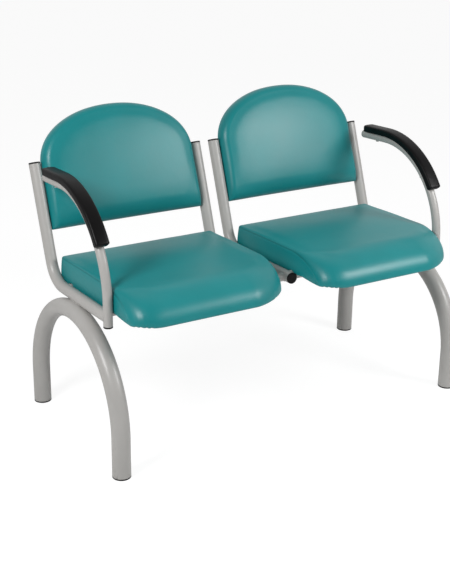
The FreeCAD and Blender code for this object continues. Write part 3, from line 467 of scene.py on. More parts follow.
class Graph:
    """The node tree of a material or of the surroundings."""

    def __init__(self, owner):
        owner.use_nodes = True
        self.tree = owner.node_tree
        self.tree.nodes.clear()

    def add(self, kind, settings=None, sockets=None):
        """A node of a kind, with its settings made first and then its sockets' values or links."""
        node = self.tree.nodes.new(kind)
        for setting, value in (settings or {}).items():
            setattr(node, setting, value)
        for socket, value in (sockets or {}).items():
            if isinstance(value, Value):
                value = value.socket
            if isinstance(value, bpy.types.NodeSocket):
                self.tree.links.new(value, node.inputs[socket])
            else:
                node.inputs[socket].default_value = value
        return node

    def value(self, output, kind, settings=None, sockets=None):
        """The number that a new node gives out at one of its outputs."""
        return Value(self, self.add(kind, settings, sockets).outputs[output])

    def places(self):
        return self.add("ShaderNodeTexCoord").outputs["Object"]

    def stretched(self, scale):
        """Object coordinates with each axis scaled on its own."""
        node = self.add("ShaderNodeMapping", None, {"Vector": self.places(), "Scale": scale})
        return node.outputs["Vector"]

    def noise(self, scale, detail=3.0, rough=0.5, places=None):
        return self.value("Fac", "ShaderNodeTexNoise", {"noise_dimensions": "3D"},
                          {"Vector": places or self.places(), "Scale": scale, "Detail": detail,
                           "Roughness": rough})

    def cells(self, scale, feature="F1"):
        return self.value("Distance", "ShaderNodeTexVoronoi", {"feature": feature},
                          {"Vector": self.places(), "Scale": scale})

    def height_above_floor(self):
        return self.value("Z", "ShaderNodeSeparateXYZ", None, {"Vector": self.places()})

    def attribute(self, name):
        return self.value("Fac", "ShaderNodeAttribute",
                          {"attribute_type": "GEOMETRY", "attribute_name": name})

    def blend(self, share, first, second):
        """A colour between two, by share."""
        node = self.add("ShaderNodeMix", {"data_type": "RGBA"},
                        {MIX_SHARE: share, MIX_FIRST: first, MIX_SECOND: second})
        return node.outputs[MIX_RESULT]

    def tones(self, share, colour_value, low, high):
        """A colour between two shades of one colour, by share."""
        return self.blend(share, shade(colour_value, low), shade(colour_value, high))

    def bump(self, height, distance, strength, normal=None):
        sockets = {"Height": height, "Distance": distance, "Strength": strength}
        if normal is not None:
            sockets["Normal"] = normal
        return self.add("ShaderNodeBump", None, sockets).outputs["Normal"]

    def finish(self, **sockets):
        """The surface itself: the Principled shader's sockets by name, spaces as underscores."""
        named = {name.replace("_", " "): value for name, value in sockets.items()}
        shader = self.add("ShaderNodeBsdfPrincipled", None, named)
        self.add("ShaderNodeOutputMaterial", None, {"Surface": shader.outputs["BSDF"]})


def shade(colour_value, factor):
    """A colour made lighter or darker by a factor, with full opacity."""
    return (*(min(1.0, part * factor) for part in colour_value), 1.0)


def surface(build):
    """Turns build(graph, colours) into a function that gives the material, made once."""
    def material(colours):
        title = "Seating " + build.__name__
        if title not in bpy.data.materials:
            build(Graph(bpy.data.materials.new(title)), colours)
        return bpy.data.materials[title]
    return material


@surface
def powder_coat(graph, finish):
    """Satin paint with a fine orange peel, and dark scuffs low on the legs."""
    flow = graph.noise(scale=9.0, detail=4.0)
    peel = graph.noise(scale=620.0, detail=2.0, rough=0.4)
    speck = graph.noise(scale=2600.0, detail=1.0)
    low = 1 - graph.height_above_floor().ramp(0.0, 0.16)
    marks = graph.noise(scale=70.0, detail=4.0, rough=0.7, places=graph.stretched((1.0, 1.0, 0.25)))
    scuffs = marks.ramp(0.62, 0.72) * low
    base = graph.tones(flow.ramp(0.35, 0.7), finish.paint, 0.96, 1.03)
    base = graph.blend(speck.ramp(0.3, 0.8) * 0.12, base, shade(finish.paint, 0.8))
    base = graph.blend(scuffs * 0.6, base, shade(finish.paint, 0.35))
    graph.finish(Base_Color=base, Roughness=0.30 + flow * 0.10 + scuffs * 0.2, IOR=1.5, Metallic=0.0,
                 Normal=graph.bump(peel, distance=0.00012, strength=0.5))


@surface
def teal_vinyl(graph, finish):
    """Upholstery vinyl with pores and fine wrinkles, duller along a stitched seam, and darker there with
    painted shade for the seam's groove.
    """
    cloud = graph.noise(scale=7.0, detail=3.0)
    pores = graph.cells(scale=1500.0)
    wrinkles = graph.cells(scale=620.0, feature="SMOOTH_F1")
    seam = graph.attribute("seam")
    base = graph.tones(cloud.ramp(0.3, 0.7), finish.vinyl, 0.95, 1.05)
    base = graph.blend((1 - pores.ramp(0.0, 0.45)) * 0.18, base, shade(finish.vinyl, 0.72))
    # The seam mark darkens the colour: painted shade in the seam's groove.
    base = graph.blend(seam * 0.4, base, shade(finish.vinyl, 0.35))
    grain = pores * 0.6 + wrinkles * 0.4
    soft = graph.bump(graph.noise(scale=26.0, detail=3.0), distance=0.0012, strength=0.35)
    graph.finish(Base_Color=base, Roughness=0.33 + cloud * 0.07 + seam * 0.15, IOR=1.5,
                 Specular_IOR_Level=0.42,
                 Normal=graph.bump(grain, distance=0.00016, strength=0.55, normal=soft))


@surface
def moulded_foam(graph, finish):
    """Self-skinned foam with a leathery grain."""
    cloud = graph.noise(scale=30.0, detail=3.0)
    grain = graph.cells(scale=1100.0) * 0.7 + graph.noise(scale=900.0, detail=2.0) * 0.3
    graph.finish(Base_Color=graph.tones(cloud, finish.arm_pad, 0.8, 1.35),
                 Roughness=0.33 + cloud * 0.12, IOR=1.5, Specular_IOR_Level=0.16,
                 Normal=graph.bump(grain, distance=0.00015, strength=0.5))


@surface
def black_plastic(graph, finish):
    """Moulded plastic with a few pale scratches."""
    cloud = graph.noise(scale=60.0, detail=3.0)
    lines = graph.noise(scale=220.0, detail=3.0, rough=0.6, places=graph.stretched((1.0, 4.0, 0.3)))
    graph.finish(Base_Color=graph.tones(lines.ramp(0.6, 0.75) * 0.35, finish.plastic, 1.0, 3.2),
                 Roughness=0.42 + cloud * 0.15, IOR=1.47, Specular_IOR_Level=0.2,
                 Normal=graph.bump(graph.noise(scale=1400.0, detail=2.0), distance=0.00008,
                                   strength=0.5))


@surface
def plywood(graph, finish):
    """Raw plywood, its grain along the row."""
    rings = graph.noise(scale=14.0, detail=5.0, rough=0.6, places=graph.stretched((1.0, 14.0, 14.0)))
    pores = graph.noise(scale=160.0, detail=3.0, rough=0.7, places=graph.stretched((0.6, 12.0, 12.0)))
    base = graph.tones(rings.ramp(0.35, 0.65), finish.plywood, 0.82, 1.1)
    base = graph.blend(pores.ramp(0.55, 0.8) * 0.5, base, shade(finish.plywood, 0.5))
    graph.finish(Base_Color=base, Roughness=0.62 + pores * 0.15,
                 Normal=graph.bump(pores, distance=0.0002, strength=0.6))


@surface
def woven_cloth(graph, finish):
    """Thin black cloth, its threads crossing square to each other."""
    warp, weft = (graph.value("Fac", "ShaderNodeTexWave",
                              {"wave_type": "BANDS", "bands_direction": direction},
                              {"Vector": graph.places(), "Scale": 420.0}) for direction in ("X", "Y"))
    weave = warp * weft
    lint = graph.noise(scale=90.0, detail=4.0, rough=0.7)
    graph.finish(Base_Color=graph.tones(weave * 0.6 + lint * 0.3, finish.cloth, 0.6, 1.6),
                 Roughness=0.85 + lint * 0.1, Sheen_Weight=0.2,
                 Normal=graph.bump(weave, distance=0.0002, strength=0.7))


@surface
def cover_sheet(graph, finish):
    """Thin black sheet with a pebbled face."""
    grain = graph.cells(scale=700.0, feature="SMOOTH_F1")
    cloud = graph.noise(scale=11.0, detail=4.0)
    graph.finish(Base_Color=graph.tones(cloud.ramp(0.3, 0.7), finish.cover, 0.8, 1.25),
                 Roughness=0.5 + cloud * 0.15,
                 Normal=graph.bump(grain, distance=0.0003, strength=0.6))


@surface
def zinc_steel(graph, finish):
    """Zinc-plated steel, a little cloudy."""
    cloud = graph.noise(scale=240.0, detail=4.0, rough=0.6)
    graph.finish(Base_Color=graph.tones(cloud.ramp(0.35, 0.7), finish.steel, 0.8, 1.05),
                 Metallic=1.0, Roughness=0.28 + cloud * 0.2,
                 Normal=graph.bump(graph.noise(scale=1300.0, detail=2.0), distance=0.00006,
                                   strength=0.5))


@surface
def pale_floor(graph, studio):
    """A plain floor that looks white to the camera and still keeps the bench's shadow."""
    glow_strength, glow_share = 1.19, 0.72
    seen = graph.value("Is Camera Ray", "ShaderNodeLightPath")
    base = graph.add("ShaderNodeBsdfDiffuse", None, {"Color": shade(studio.floor, 1.0)})
    glow = graph.add("ShaderNodeEmission", None, {"Color": WHITE, "Strength": glow_strength})
    mixed = graph.add("ShaderNodeMixShader", None,
                      {0: seen * glow_share, 1: base.outputs[0], 2: glow.outputs[0]})
    graph.add("ShaderNodeOutputMaterial", None, {"Surface": mixed.outputs[0]})


# Frame tubes

def arch_leg_grid(tubes, at, x):
    """An arch leg: upright, half a turn over to the rear, and down again."""
    foot = [at.middle_y - at.leg_radius, tubes.glide]
    runs = [(tubes.leg_straight,), (at.leg_radius, -math.pi), (tubes.leg_straight,)]
    path = route(foot, math.pi / 2, runs, turn_step=1.8)
    return bent_tube(path, x, tubes.leg_tube / 2, sides=72)


def side_tube_grid(tubes, at, x, ahead):
    """A rail and back tube; ahead is how far its front runs on past an inner rail's cap.

    A front that runs on is pressed narrow to fit the arm post: its width keeps
    1 - (1 - narrow) (1 - gone / run)^p."""
    press_run, press_power, press_share = 0.045, 1.6, 0.985
    start = at.rail_front + at.rail_along * (tubes.cap - ahead)
    runs = [(tubes.rail_straight + ahead,), (tubes.back_bend, at.back_turn), (tubes.back_straight,)]
    path = route(start, -tubes.rail_tilt, runs)
    squeeze = None
    if ahead:
        gone = np.linalg.norm(path - path[0], axis=1)
        narrow = (tubes.arm_tube / tubes.rail_tube) * press_share
        squeeze = 1 - (1 - narrow) * np.clip(1 - gone / press_run, 0, 1) ** press_power
    return bent_tube(path, x, tubes.rail_tube / 2, squeeze=squeeze)


def arm_grid(tubes, at, x):
    """An arm: its post upright, the long bend over to the rear, and the straight tail."""
    start = at.post_foot + np.array([0, tubes.cap])
    runs = [(tubes.post_straight,), (tubes.arm_bend, -tubes.arm_turn), (tubes.arm_tail,)]
    path = route(start, math.pi / 2, runs, turn_step=2.0)
    return bent_tube(path, x, tubes.arm_tube / 2)


def cross_tube_grid(tubes, at, x_from, x_to, along):
    """A round bar along the row between two rails: axis + r (cos a along the rail + sin a up)."""
    centre = at.rail_front + at.rail_along * along
    turn = np.linspace(0, 2 * math.pi, 48, endpoint=False)
    radius = tubes.cross_tube / 2
    x = np.array([x_from, x_from, x_to, x_to])
    radii = np.array([0, radius, radius, 0])
    ring = np.cos(turn)[:, None] * at.rail_along + np.sin(turn)[:, None] * at.rail_up
    plane = centre + radii[:, None, None] * ring
    across = np.broadcast_to(x[:, None, None], (*plane.shape[:2], 1))
    return np.concatenate([across, plane], axis=2), False, True


def cap_profile(radius, thick):
    """Radius and height pairs of a tube cap: plug in the tube, rim of a quarter circle, flat face."""
    rim = thick * 0.2
    bore = radius - CAP_PLUG_INSET
    turn = np.linspace(0, math.pi / 2, 6)
    edge = np.stack([radius - rim + rim * np.cos(turn), thick - rim + rim * np.sin(turn)], axis=1)
    inner = [(0, -CAP_PLUG), (bore, -CAP_PLUG), (bore, 0), (radius, 0)]
    return np.concatenate([inner, edge, [(radius / 2, thick), (0, thick)]])


def glide_profile(tubes):
    """Radius and height pairs of a glide: plug in the leg, flange, and a quarter circle to the sole."""
    radius = tubes.leg_tube / 2
    bore = radius - GLIDE_PLUG_INSET
    top = tubes.glide + GLIDE_PLUG
    rim = tubes.glide * 0.4
    turn = np.linspace(0, math.pi / 2, 6)
    edge = np.stack([radius - rim + rim * np.cos(turn), rim - rim * np.sin(turn)], axis=1)
    upper = [(0, top), (bore, top), (bore, tubes.glide), (radius, tubes.glide)]
    return np.concatenate([upper, edge, [(0, 0)]])


# Welds

def ring_weld(tubes, at, x, side, along):
    """Where a cross tube meets a rail's side: x = sqrt(R^2 - (r cos a)^2) from the rail's axis."""
    turn = np.linspace(0, 2 * math.pi, 96, endpoint=False)
    radius = tubes.cross_tube / 2
    rail = tubes.rail_tube / 2
    out = np.sqrt(rail ** 2 - (radius * np.sin(turn)) ** 2)
    plane = (at.rail_front + at.rail_along * along
             + radius * (np.cos(turn)[:, None] * at.rail_along + np.sin(turn)[:, None] * at.rail_up))
    path = np.concatenate([(x + side * out)[:, None], plane], axis=1)
    centre = upright(at.rail_front + at.rail_along * along, x + side * rail)
    return bead(path, path - centre, tubes.weld)


def saddle_weld(tubes, at, side):
    """Where a rail rests on its arch: at each y the two tubes' circles cross at two points.

    Places within search of the arch's middle are tried to find where the tubes touch."""
    rail, leg = tubes.rail_tube / 2, tubes.leg_tube / 2
    rail_x, leg_x = at.outer_x, at.leg_x
    search, fatter = 0.08, 1.15
    reach = np.linspace(-search, search, 4001)

    def gap(y):
        rail_z = at.rail_front[1] - (y - (at.rail_front[0] - at.middle_y)) * math.tan(tubes.rail_tilt)
        arch_z = at.arch_centre[1] + np.sqrt(at.leg_radius ** 2 - y ** 2)
        return rail_z, arch_z, np.hypot(leg_x - rail_x, rail_z - arch_z)

    touching = reach[gap(reach)[2] < rail + leg]
    y = wave(touching[0], touching[-1], 60)
    rail_z, arch_z, apart = gap(y)
    share = (leg ** 2 - rail ** 2 + apart ** 2) / (2 * apart)
    half = np.sqrt(np.maximum(leg ** 2 - share ** 2, 0))
    toward = np.stack([(rail_x - leg_x) / apart, (rail_z - arch_z) / apart], axis=1)
    middle_line = np.stack([np.full_like(y, leg_x), arch_z], axis=1) + share[:, None] * toward
    square = np.stack([toward[:, 1], -toward[:, 0]], axis=1) * half[:, None]
    right, left = middle_line + square, (middle_line - square)[::-1]
    loop = np.concatenate([np.column_stack([right, y]), np.column_stack([left, y[::-1]])[1:-1]])
    path = np.column_stack([side * loop[:, 0], at.middle_y + loop[:, 2], loop[:, 1]])
    return bead(path, path - path.mean(axis=0), tubes.weld * fatter)


def post_weld(tubes, at, side):
    """Where an outer rail's end meets the arm post: a loop round the post's rear half.

    It lies x = inside r sin a across, r cos a back, and sqrt(R^2 - (R x / r)^2) / cos(tilt) up or
    down."""
    turn = np.linspace(-math.pi / 2, math.pi / 2, 40)
    post = tubes.arm_tube / 2
    rail = tubes.rail_tube / 2
    inside, behind = 0.97, 0.01
    wide = post * np.sin(turn) * inside
    back = post * np.cos(turn)
    rise = np.sqrt(np.maximum(rail ** 2 - (wide * rail / post) ** 2, 0)) / math.cos(tubes.rail_tilt)
    upper = np.column_stack([wide, back, rise])
    lower = np.column_stack([wide, back, -rise])[::-1][1:-1]
    loop = np.concatenate([upper, lower])
    origin = upright(at.post, side * at.outer_x)
    path = origin + loop * np.array([side, 1, 1])
    return bead(path, path - path.mean(axis=0) + np.array([0, behind, 0]), tubes.weld)


# Padded pieces

def drawn_in(x, half, reach, depth, power):
    """How far a corner draws an outline in at x: depth (1 - (1 - past^p)^(1/p)) over its reach."""
    past = np.clip((x - (half - reach)) / reach, 0, 1)
    return depth * (1 - (1 - past ** power) ** (1 / power))


def swell_up(gap, reach, power=2.1):
    """A rounded edge: (1 - (1 - gap / reach)^p)^(1/p), from 0 on the edge to 1 past its reach."""
    short = 1 - np.clip(gap / reach, 0, 1)
    return (1 - short ** power) ** (1 / power)


def under_run(rear, front, crossings, reach, counts=(8, 16, 18, 16, 16)):
    """Places under a seat pad from rear to front, closer together over the cross tubes."""
    stops = [rear] + [np.full_like(rear, place + side * reach)
                      for place in sorted(crossings, reverse=True) for side in (1, -1)] + [front]
    stops = np.concatenate(stops, axis=1)
    steps = np.concatenate([np.arange(count) / count + number for number, count in enumerate(counts)]
                           + [[len(counts)]])
    number = np.minimum(steps.astype(int), len(counts) - 1)
    share = steps - number
    return stops[:, number] * (1 - share) + stops[:, number + 1] * share


def seat_profile(pads, crossings, x):
    """Upright slices of a seat pad at each x, in rail axes: y back along the rail, z up from its axis.

    The loop runs under the pad to the front, round the toe, up the nose as a soft quarter ellipse,
    back over the crowned top, round the rear edge, down the raked rear and round the heel. Under its
    sides the cover wraps down by lip exp(-(gap / reach)^2), deeper beside the rails. With y and z come
    how far the lip is notched over the cross tubes, rise exp(-(distance / notch)^4) up to the pad's
    flat underside, and the column at which each stretch of the loop starts."""
    rear_power, edge_power, nose_power = 2.4, 2.2, 2.15
    dome_loss, power_loss, droop_loss, right_share = 0.9, 0.55, 0.5, 0.25
    edge_width = pads.seat_edge * 1.6
    lip_start, lip_run, crowding = 0.022, 0.028, 1.9
    half = pads.seat_width / 2
    front = (drawn_in(-x, half, pads.left_corner, pads.left_sweep, LEFT_POWER)
             + drawn_in(x, half, pads.right_corner, pads.right_sweep, RIGHT_POWER) - pads.seat_overhang)
    rear = (pads.seat_depth - pads.seat_overhang
            - drawn_in(np.abs(x), half, pads.rear_corner, pads.rear_corner, rear_power))
    lip = np.exp(-((half - np.abs(x)) / pads.lip_reach) ** 2)
    tuck = drawn_in(np.abs(x), half, pads.side_tuck, pads.side_tuck, edge_power)
    floor = pads.seat_lift - pads.nose_lip * lip + tuck
    rise = pads.seat_lip * lip - tuck
    high = (pads.seat_lift + pads.seat_thick
            - drawn_in(np.abs(x), half, edge_width, pads.seat_edge, edge_power))
    dome = pads.seat_crown * (1 - dome_loss * (x / half) ** 2)
    near_left = np.clip((-x - (half - pads.left_corner)) / pads.left_corner, 0, 1)
    near_right = np.clip((x - (half - pads.right_corner)) / pads.right_corner, 0, 1)
    spread = near_left ** 4 + right_share * near_right ** 2
    nose = pads.seat_nose + (pads.seam_nose - pads.seat_nose) * spread
    power = nose_power - power_loss * near_left ** 4
    droop = pads.seat_droop * (1 - droop_loss * near_left ** 2)
    front, rear, lip, floor, rise, high, dome, nose, power, droop = (
        value[:, None] for value in (front, rear, lip, floor, rise, high, dome, nose, power, droop))
    hem = pads.seat_tuck
    edge = pads.seat_edge
    low = floor - droop
    deeper = (pads.seat_lip - pads.nose_lip) * lip
    behind = floor - deeper
    top_end = rear - pads.seat_rake - edge

    share = np.linspace(0, 1, 44)[None, :]
    quarter = np.linspace(0, math.pi / 2, 12)[None, :]
    climb = np.linspace(0, math.pi / 2, 40)[None, :]
    fall = np.linspace(0, 1, 14)[None, :]

    under_y = under_run(rear - hem, front + hem, crossings, pads.notch * crowding)
    under_z = (floor - deeper * np.clip((under_y + lip_start) / lip_run, 0, 1)
               - droop * np.sin(math.pi / 2 * np.clip(under_y / (front + hem), 0, 1)))
    toe_y = front + hem * (1 - np.sin(quarter))
    toe_z = low + hem * (1 - np.cos(quarter))
    nose_y = front + nose * (1 - np.cos(climb) ** (2 / power))
    nose_z = low + hem + (high - low - hem) * np.sin(climb) ** (2 / power)
    top_y = (front + nose) + (top_end - front - nose) * share
    top_z = high + dome * np.sin(math.pi * share) ** 2
    round_y = top_end + edge * np.sin(quarter)
    round_z = high - edge * (1 - np.cos(quarter))
    rear_y = top_end + edge + (rear - top_end - edge) * np.sin(fall * math.pi / 2)
    rear_z = high - edge + (behind + hem - high + edge) * fall
    heel_y = rear - hem * (1 - np.cos(quarter))
    heel_z = behind + hem * (1 - np.sin(quarter))
    y = [under_y] + [part[:, 1:] for part in (toe_y, nose_y, top_y, round_y, rear_y, heel_y[:, :-1])]
    z = [under_z] + [part[:, 1:] for part in (toe_z, nose_z, top_z, round_z, rear_z, heel_z[:, :-1])]
    starts = np.cumsum([0] + [part.shape[1] for part in y])
    y, z = np.concatenate(y, axis=1), np.concatenate(z, axis=1)
    notches = np.zeros_like(y)
    for place in crossings:
        notches[:, :starts[1]] += rise * np.exp(-((under_y - place) / pads.notch) ** 4)
    return y, z, notches, starts


def seat_stations(pads):
    """Places across a seat pad, even along the turn of each front corner: R sin(a)^(2/p).

    A few are crowded beside each side seam, and none of the others comes closer to them than the gap."""
    half, least_gap = pads.seat_width / 2, 0.0004
    turn = np.linspace(0, math.pi / 2, 30)
    left = -(half - pads.left_corner) - pads.left_corner * np.sin(turn[::-1]) ** (2 / LEFT_POWER)
    right = (half - pads.right_corner) + pads.right_corner * np.sin(turn) ** (2 / RIGHT_POWER)
    between = np.linspace(left[-1], right[0], 34)[1:-1]
    stations = np.concatenate([left, between, right])
    apart = half - np.abs(stations)
    near_side = np.array([0.0, 0.0004, 0.0009, 0.0015, 0.0023])
    kept = stations[apart > near_side[-1] + least_gap]
    return np.concatenate([near_side - half, kept, half - near_side[::-1]])


def side_panel(outline, notches, side_x, outward, pads):
    """A seat pad's side panel: its outline drawn in evenly from the seam, and then to its middle.

    It swells by belly (1 - share^4) and sinks beside the seam by depth exp(-(gap / width)^2). The
    notches in its lower edge fade inward as exp(-gap / fade)."""
    fade = 0.004
    high, low = outline.max(axis=0), outline.min(axis=0)
    centre, reach = (high + low) / 2, (high - low) / 2
    gaps = np.array([0.0005, 0.0011, 0.0019, 0.003, 0.0048, 0.008])
    shares = np.array([0.8, 0.55, 0.3, 0.1, 0.0])
    scale = np.concatenate([1 - gaps[:, None] / reach, shares[:, None] * (1 - gaps[-1] / reach)])
    rings = centre + (outline - centre) * scale[:, None, :]
    rings[:len(gaps), :, 1] += notches * np.exp(-gaps / fade)[:, None]
    belly = pads.side_belly * (1 - scale[:, 1] ** 4)
    sunk = pads.seam_depth * np.concatenate([seam_share(gaps, pads), np.zeros(len(shares))])
    x = np.broadcast_to((side_x + outward * (belly - sunk))[:, None, None], (*rings.shape[:2], 1))
    return np.concatenate([x, rings], axis=-1)


def seam_share(gap, pads):
    """How far a seam is felt beside it: exp(-(gap / width)^2)."""
    return np.exp(-(gap / pads.seam_width) ** 2)


def creases(run, places, width):
    """Narrow creases at places along a run: the sum of exp(-((run - place) / width)^2)."""
    return np.exp(-((run[:, None] - np.array(places)) / width) ** 2).sum(axis=1)


def seat_pad_grid(pads, crossings):
    """A whole seat pad in rail axes before it is filled and stitched."""
    x = seat_stations(pads)
    y, z, notches, _ = seat_profile(pads, crossings, x)
    body = np.stack([np.broadcast_to(x[:, None], y.shape), y, z], axis=-1)
    left = side_panel(body[0, :, 1:], notches[0], x[0], -1, pads)[::-1]
    right = side_panel(body[-1, :, 1:], notches[-1], x[-1], 1, pads)
    body[..., 2] += notches
    return np.concatenate([left, body, right])


def beside_rails(points, tubes, at, pads):
    """Presses a seat pad's sides in where a rail and its bend run close beside them.

    At distance d from the rail's axis the pad may reach x = X - sqrt((R + clear)^2 - d^2); it keeps
    under that limit as (x + limit - sqrt((x - limit)^2 + ease^2)) / 2."""
    ease = 0.0005
    bend_y = tubes.cap + tubes.rail_straight
    y, z = points[..., 1], points[..., 2]
    around = np.abs(np.hypot(y - bend_y, z - tubes.back_bend) - tubes.back_bend)
    apart = np.where(y < bend_y, np.abs(z), around)
    bulge = np.sqrt(np.maximum((tubes.rail_tube / 2 + pads.rail_clear) ** 2 - apart ** 2, 0))
    limit = (at.outer_x - at.inner_x) / 2 - np.where(y > -tubes.cap, bulge, 0)
    wide = np.abs(points[..., 0])
    kept = (wide + limit - np.sqrt((wide - limit) ** 2 + ease ** 2)) / 2
    return np.concatenate([(np.sign(points[..., 0]) * kept)[..., None], points[..., 1:]], axis=-1)


def seat_stitching(pads, crossings, grid):
    """How far a seat pad's seams and pleats move each point of its grid, and where the seams are, for the
    painted shade that the vinyl lays along them.

    A side seam sinks by depth exp(-(gap / width)^2) square to the pad; a pleat under a front corner
    sinks by depth exp(-((run - place) / width)^2), fading up the nose as exp(-height / fade). The seam
    sets in over some columns of the nose and stops some columns past the top's rear edge."""
    seam_wait, seam_onset, seam_past, pleat_ahead = 12, 14, 10, 3
    fade = 0.016
    x = seat_stations(pads)
    panel = (len(grid) - len(x)) // 2
    body = grid[panel:-panel]
    *_, starts = seat_profile(pads, crossings, x)
    toe, nose, top, back = starts[1], starts[2], starts[3], starts[4]
    columns = np.arange(grid.shape[1])
    along = np.roll(body[..., 1:], -1, axis=1) - np.roll(body[..., 1:], 1, axis=1)
    along = along / np.linalg.norm(along, axis=-1, keepdims=True)
    inward = np.stack([along[..., 1], -along[..., 0]], axis=-1)

    moved = np.zeros_like(grid)
    seam = np.zeros(grid.shape[:2])
    sewn = np.clip((columns - nose - seam_wait) / seam_onset, 0, 1) * (columns <= back + seam_past)
    near = seam_share(pads.seat_width / 2 - np.abs(x), pads)[:, None] * sewn
    moved[panel:-panel, :, 1:] += inward * (near * pads.seam_depth)[..., None]
    moved[panel:-panel, :, 0] -= np.sign(x)[:, None] * near * pads.seam_depth
    seam[panel:-panel] = near

    run = np.concatenate([[0], np.cumsum(np.hypot(np.diff(x), np.diff(body[:, nose, 1])))])
    pleats = creases(run, LEFT_PLEATS, width=0.0024) + creases(run[-1] - run, RIGHT_PLEATS, width=0.0026)
    height = body[..., 2] - body[..., 2].min(axis=1, keepdims=True)
    front_part = (columns >= toe - pleat_ahead) & (columns <= top)
    pinch = pleats[:, None] * np.exp(-height / fade) * pads.pleat_depth * front_part
    moved[panel:-panel, :, 1:] += inward * pinch[..., None]
    return moved, seam


def back_outline(pads, count=72):
    """The outline of a back pad in back axes: x across, y up the tubes from their tops.

    Its arched top is (half cos(a)^(2/p), arch sin(a)^(2/p)); plain sides and small round lower corners
    close it."""
    half, corner = pads.back_half, pads.back_corner
    low = -(pads.back_side + pads.back_shoulder)
    turn = np.linspace(0, math.pi, 2 * count)
    soft = 2 / ARCH_POWER
    arch = np.stack([half * np.sign(np.cos(turn)) * np.abs(np.cos(turn)) ** soft,
                     pads.back_arch * np.sin(turn) ** soft - pads.back_shoulder], axis=1)
    quarter = np.linspace(0, math.pi / 2, 12)
    left = np.stack([-half + corner - corner * np.cos(quarter),
                     low + corner - corner * np.sin(quarter)], axis=1)
    right = np.stack([-left[::-1, 0], left[::-1, 1]], axis=1)
    side = np.linspace(0, 1, 24)[1:-1, None]
    down = arch[-1] + (left[0] - arch[-1]) * side
    along = left[-1] + (right[0] - left[-1]) * np.linspace(0, 1, 60)[1:-1, None]
    up = right[-1] + (arch[0] - right[-1]) * side
    return np.concatenate([arch, down, left, along, right, up])


def back_height(pads, x, y):
    """How far a back pad's front stands before its flank at (x, y).

    The gap to the sides and the arch is (1 - r) / |grad r| with
    r = ((x / half)^p + (rise / arch)^p)^(1/p), the gap to the lower edge is plain, and the edges
    multiply: rise * swell(gap) * swell(lower gap). A part of the rise comes up over a wider spread,
    with a lower power. The middle rises over all that as crown (1 - r^2) sin(share of the height)^q."""
    spread_power, crown_power, least_wide = 1.7, 0.8, 1e-4
    low = -(pads.back_side + pads.back_shoulder)
    wide = np.maximum(np.abs(x) / pads.back_half, least_wide)
    tall = np.maximum((y + pads.back_shoulder) / pads.back_arch, 0)
    r = (wide ** ARCH_POWER + tall ** ARCH_POWER) ** (1 / ARCH_POWER)
    slope = np.hypot((wide / r) ** (ARCH_POWER - 1) / pads.back_half,
                     (tall / r) ** (ARCH_POWER - 1) / pads.back_arch)
    gap = np.maximum(1 - r, 0) / slope
    lower = np.maximum(y - low, 0)
    edge = swell_up(gap, pads.back_edge) * swell_up(lower, pads.back_foot)
    shoulder = (swell_up(gap, pads.back_spread, spread_power)
                * swell_up(lower, pads.back_spread, spread_power))
    whole = pads.back_side + pads.back_arch
    crown = np.clip(1 - r ** 2, 0, 1) * np.sin(math.pi * np.clip(lower / whole, 0, 1)) ** crown_power
    return (pads.back_round - pads.back_lip) * edge + pads.back_lip * shoulder + pads.back_crown * crown


def back_pad_grid(pads):
    """A whole back pad in back axes: rings from the middle of its rear, round its rim, to its front.

    Each ring is the outline moved in by an inset measured square to it, centre + (O - centre)
    (1 - inset / h), where h is how far the outline's tangent lies from the centre. The front
    rings take their height from their place on the face."""
    outline = back_outline(pads)
    centre = np.array([0.0, (outline[:, 1].max() + outline[:, 1].min()) / 2])
    tangent = np.roll(outline, -1, axis=0) - np.roll(outline, 1, axis=0)
    tangent = tangent / np.linalg.norm(tangent, axis=1, keepdims=True)
    outward = np.stack([tangent[:, 1], -tangent[:, 0]], axis=1)
    tangent_gap = np.sum((outline - centre) * outward, axis=1)

    def ring(inset, forward=None, share=1.0):
        scale = share * (1 - inset / tangent_gap)[:, None]
        flat = centre + (outline - centre) * scale
        if forward is None:
            height = back_height(pads, flat[:, 0], flat[:, 1]) + pads.back_flank
        else:
            height = np.full(len(flat), forward)
        return np.column_stack([flat, height])

    rear, hem, past_edge = -pads.back_behind, 0.003, 1.02
    quarter = np.linspace(0, math.pi / 2, 6)
    rings = [ring(hem, rear, share) for share in (0.0, 0.4, 0.8, 0.95)]
    rings += [ring(hem * (1 - math.sin(a)), rear + hem * (1 - math.cos(a))) for a in quarter]
    for a in np.linspace(0, math.pi / 2, 34):
        rings.append(ring(pads.back_edge * (1 - math.cos(a)) * past_edge))
    for share in np.concatenate([np.linspace(0.985, 0.1, 34), [0.05, 0.0]]):
        rings.append(ring(pads.back_edge * past_edge, share=share))
    return np.stack(rings)


# Filling

def points_of(mesh):
    """A mesh's points as rows of three numbers."""
    flat = np.empty(len(mesh.vertices) * 3)
    mesh.vertices.foreach_get("co", flat)
    return flat.reshape(-1, 3)


def even_cover(name, grid, cell):
    """The shell of a pad as an object of even cells, ready to be blown up."""
    cover = add_object(name, make_mesh(name, [(grid, False, True)]))
    cells = cover.modifiers.new("cells", "REMESH")
    cells.mode = "VOXEL"
    cells.voxel_size = cell
    evened = cover.evaluated_get(bpy.context.evaluated_depsgraph_get())
    cover.data = bpy.data.meshes.new_from_object(evened)
    cover.modifiers.clear()
    return cover


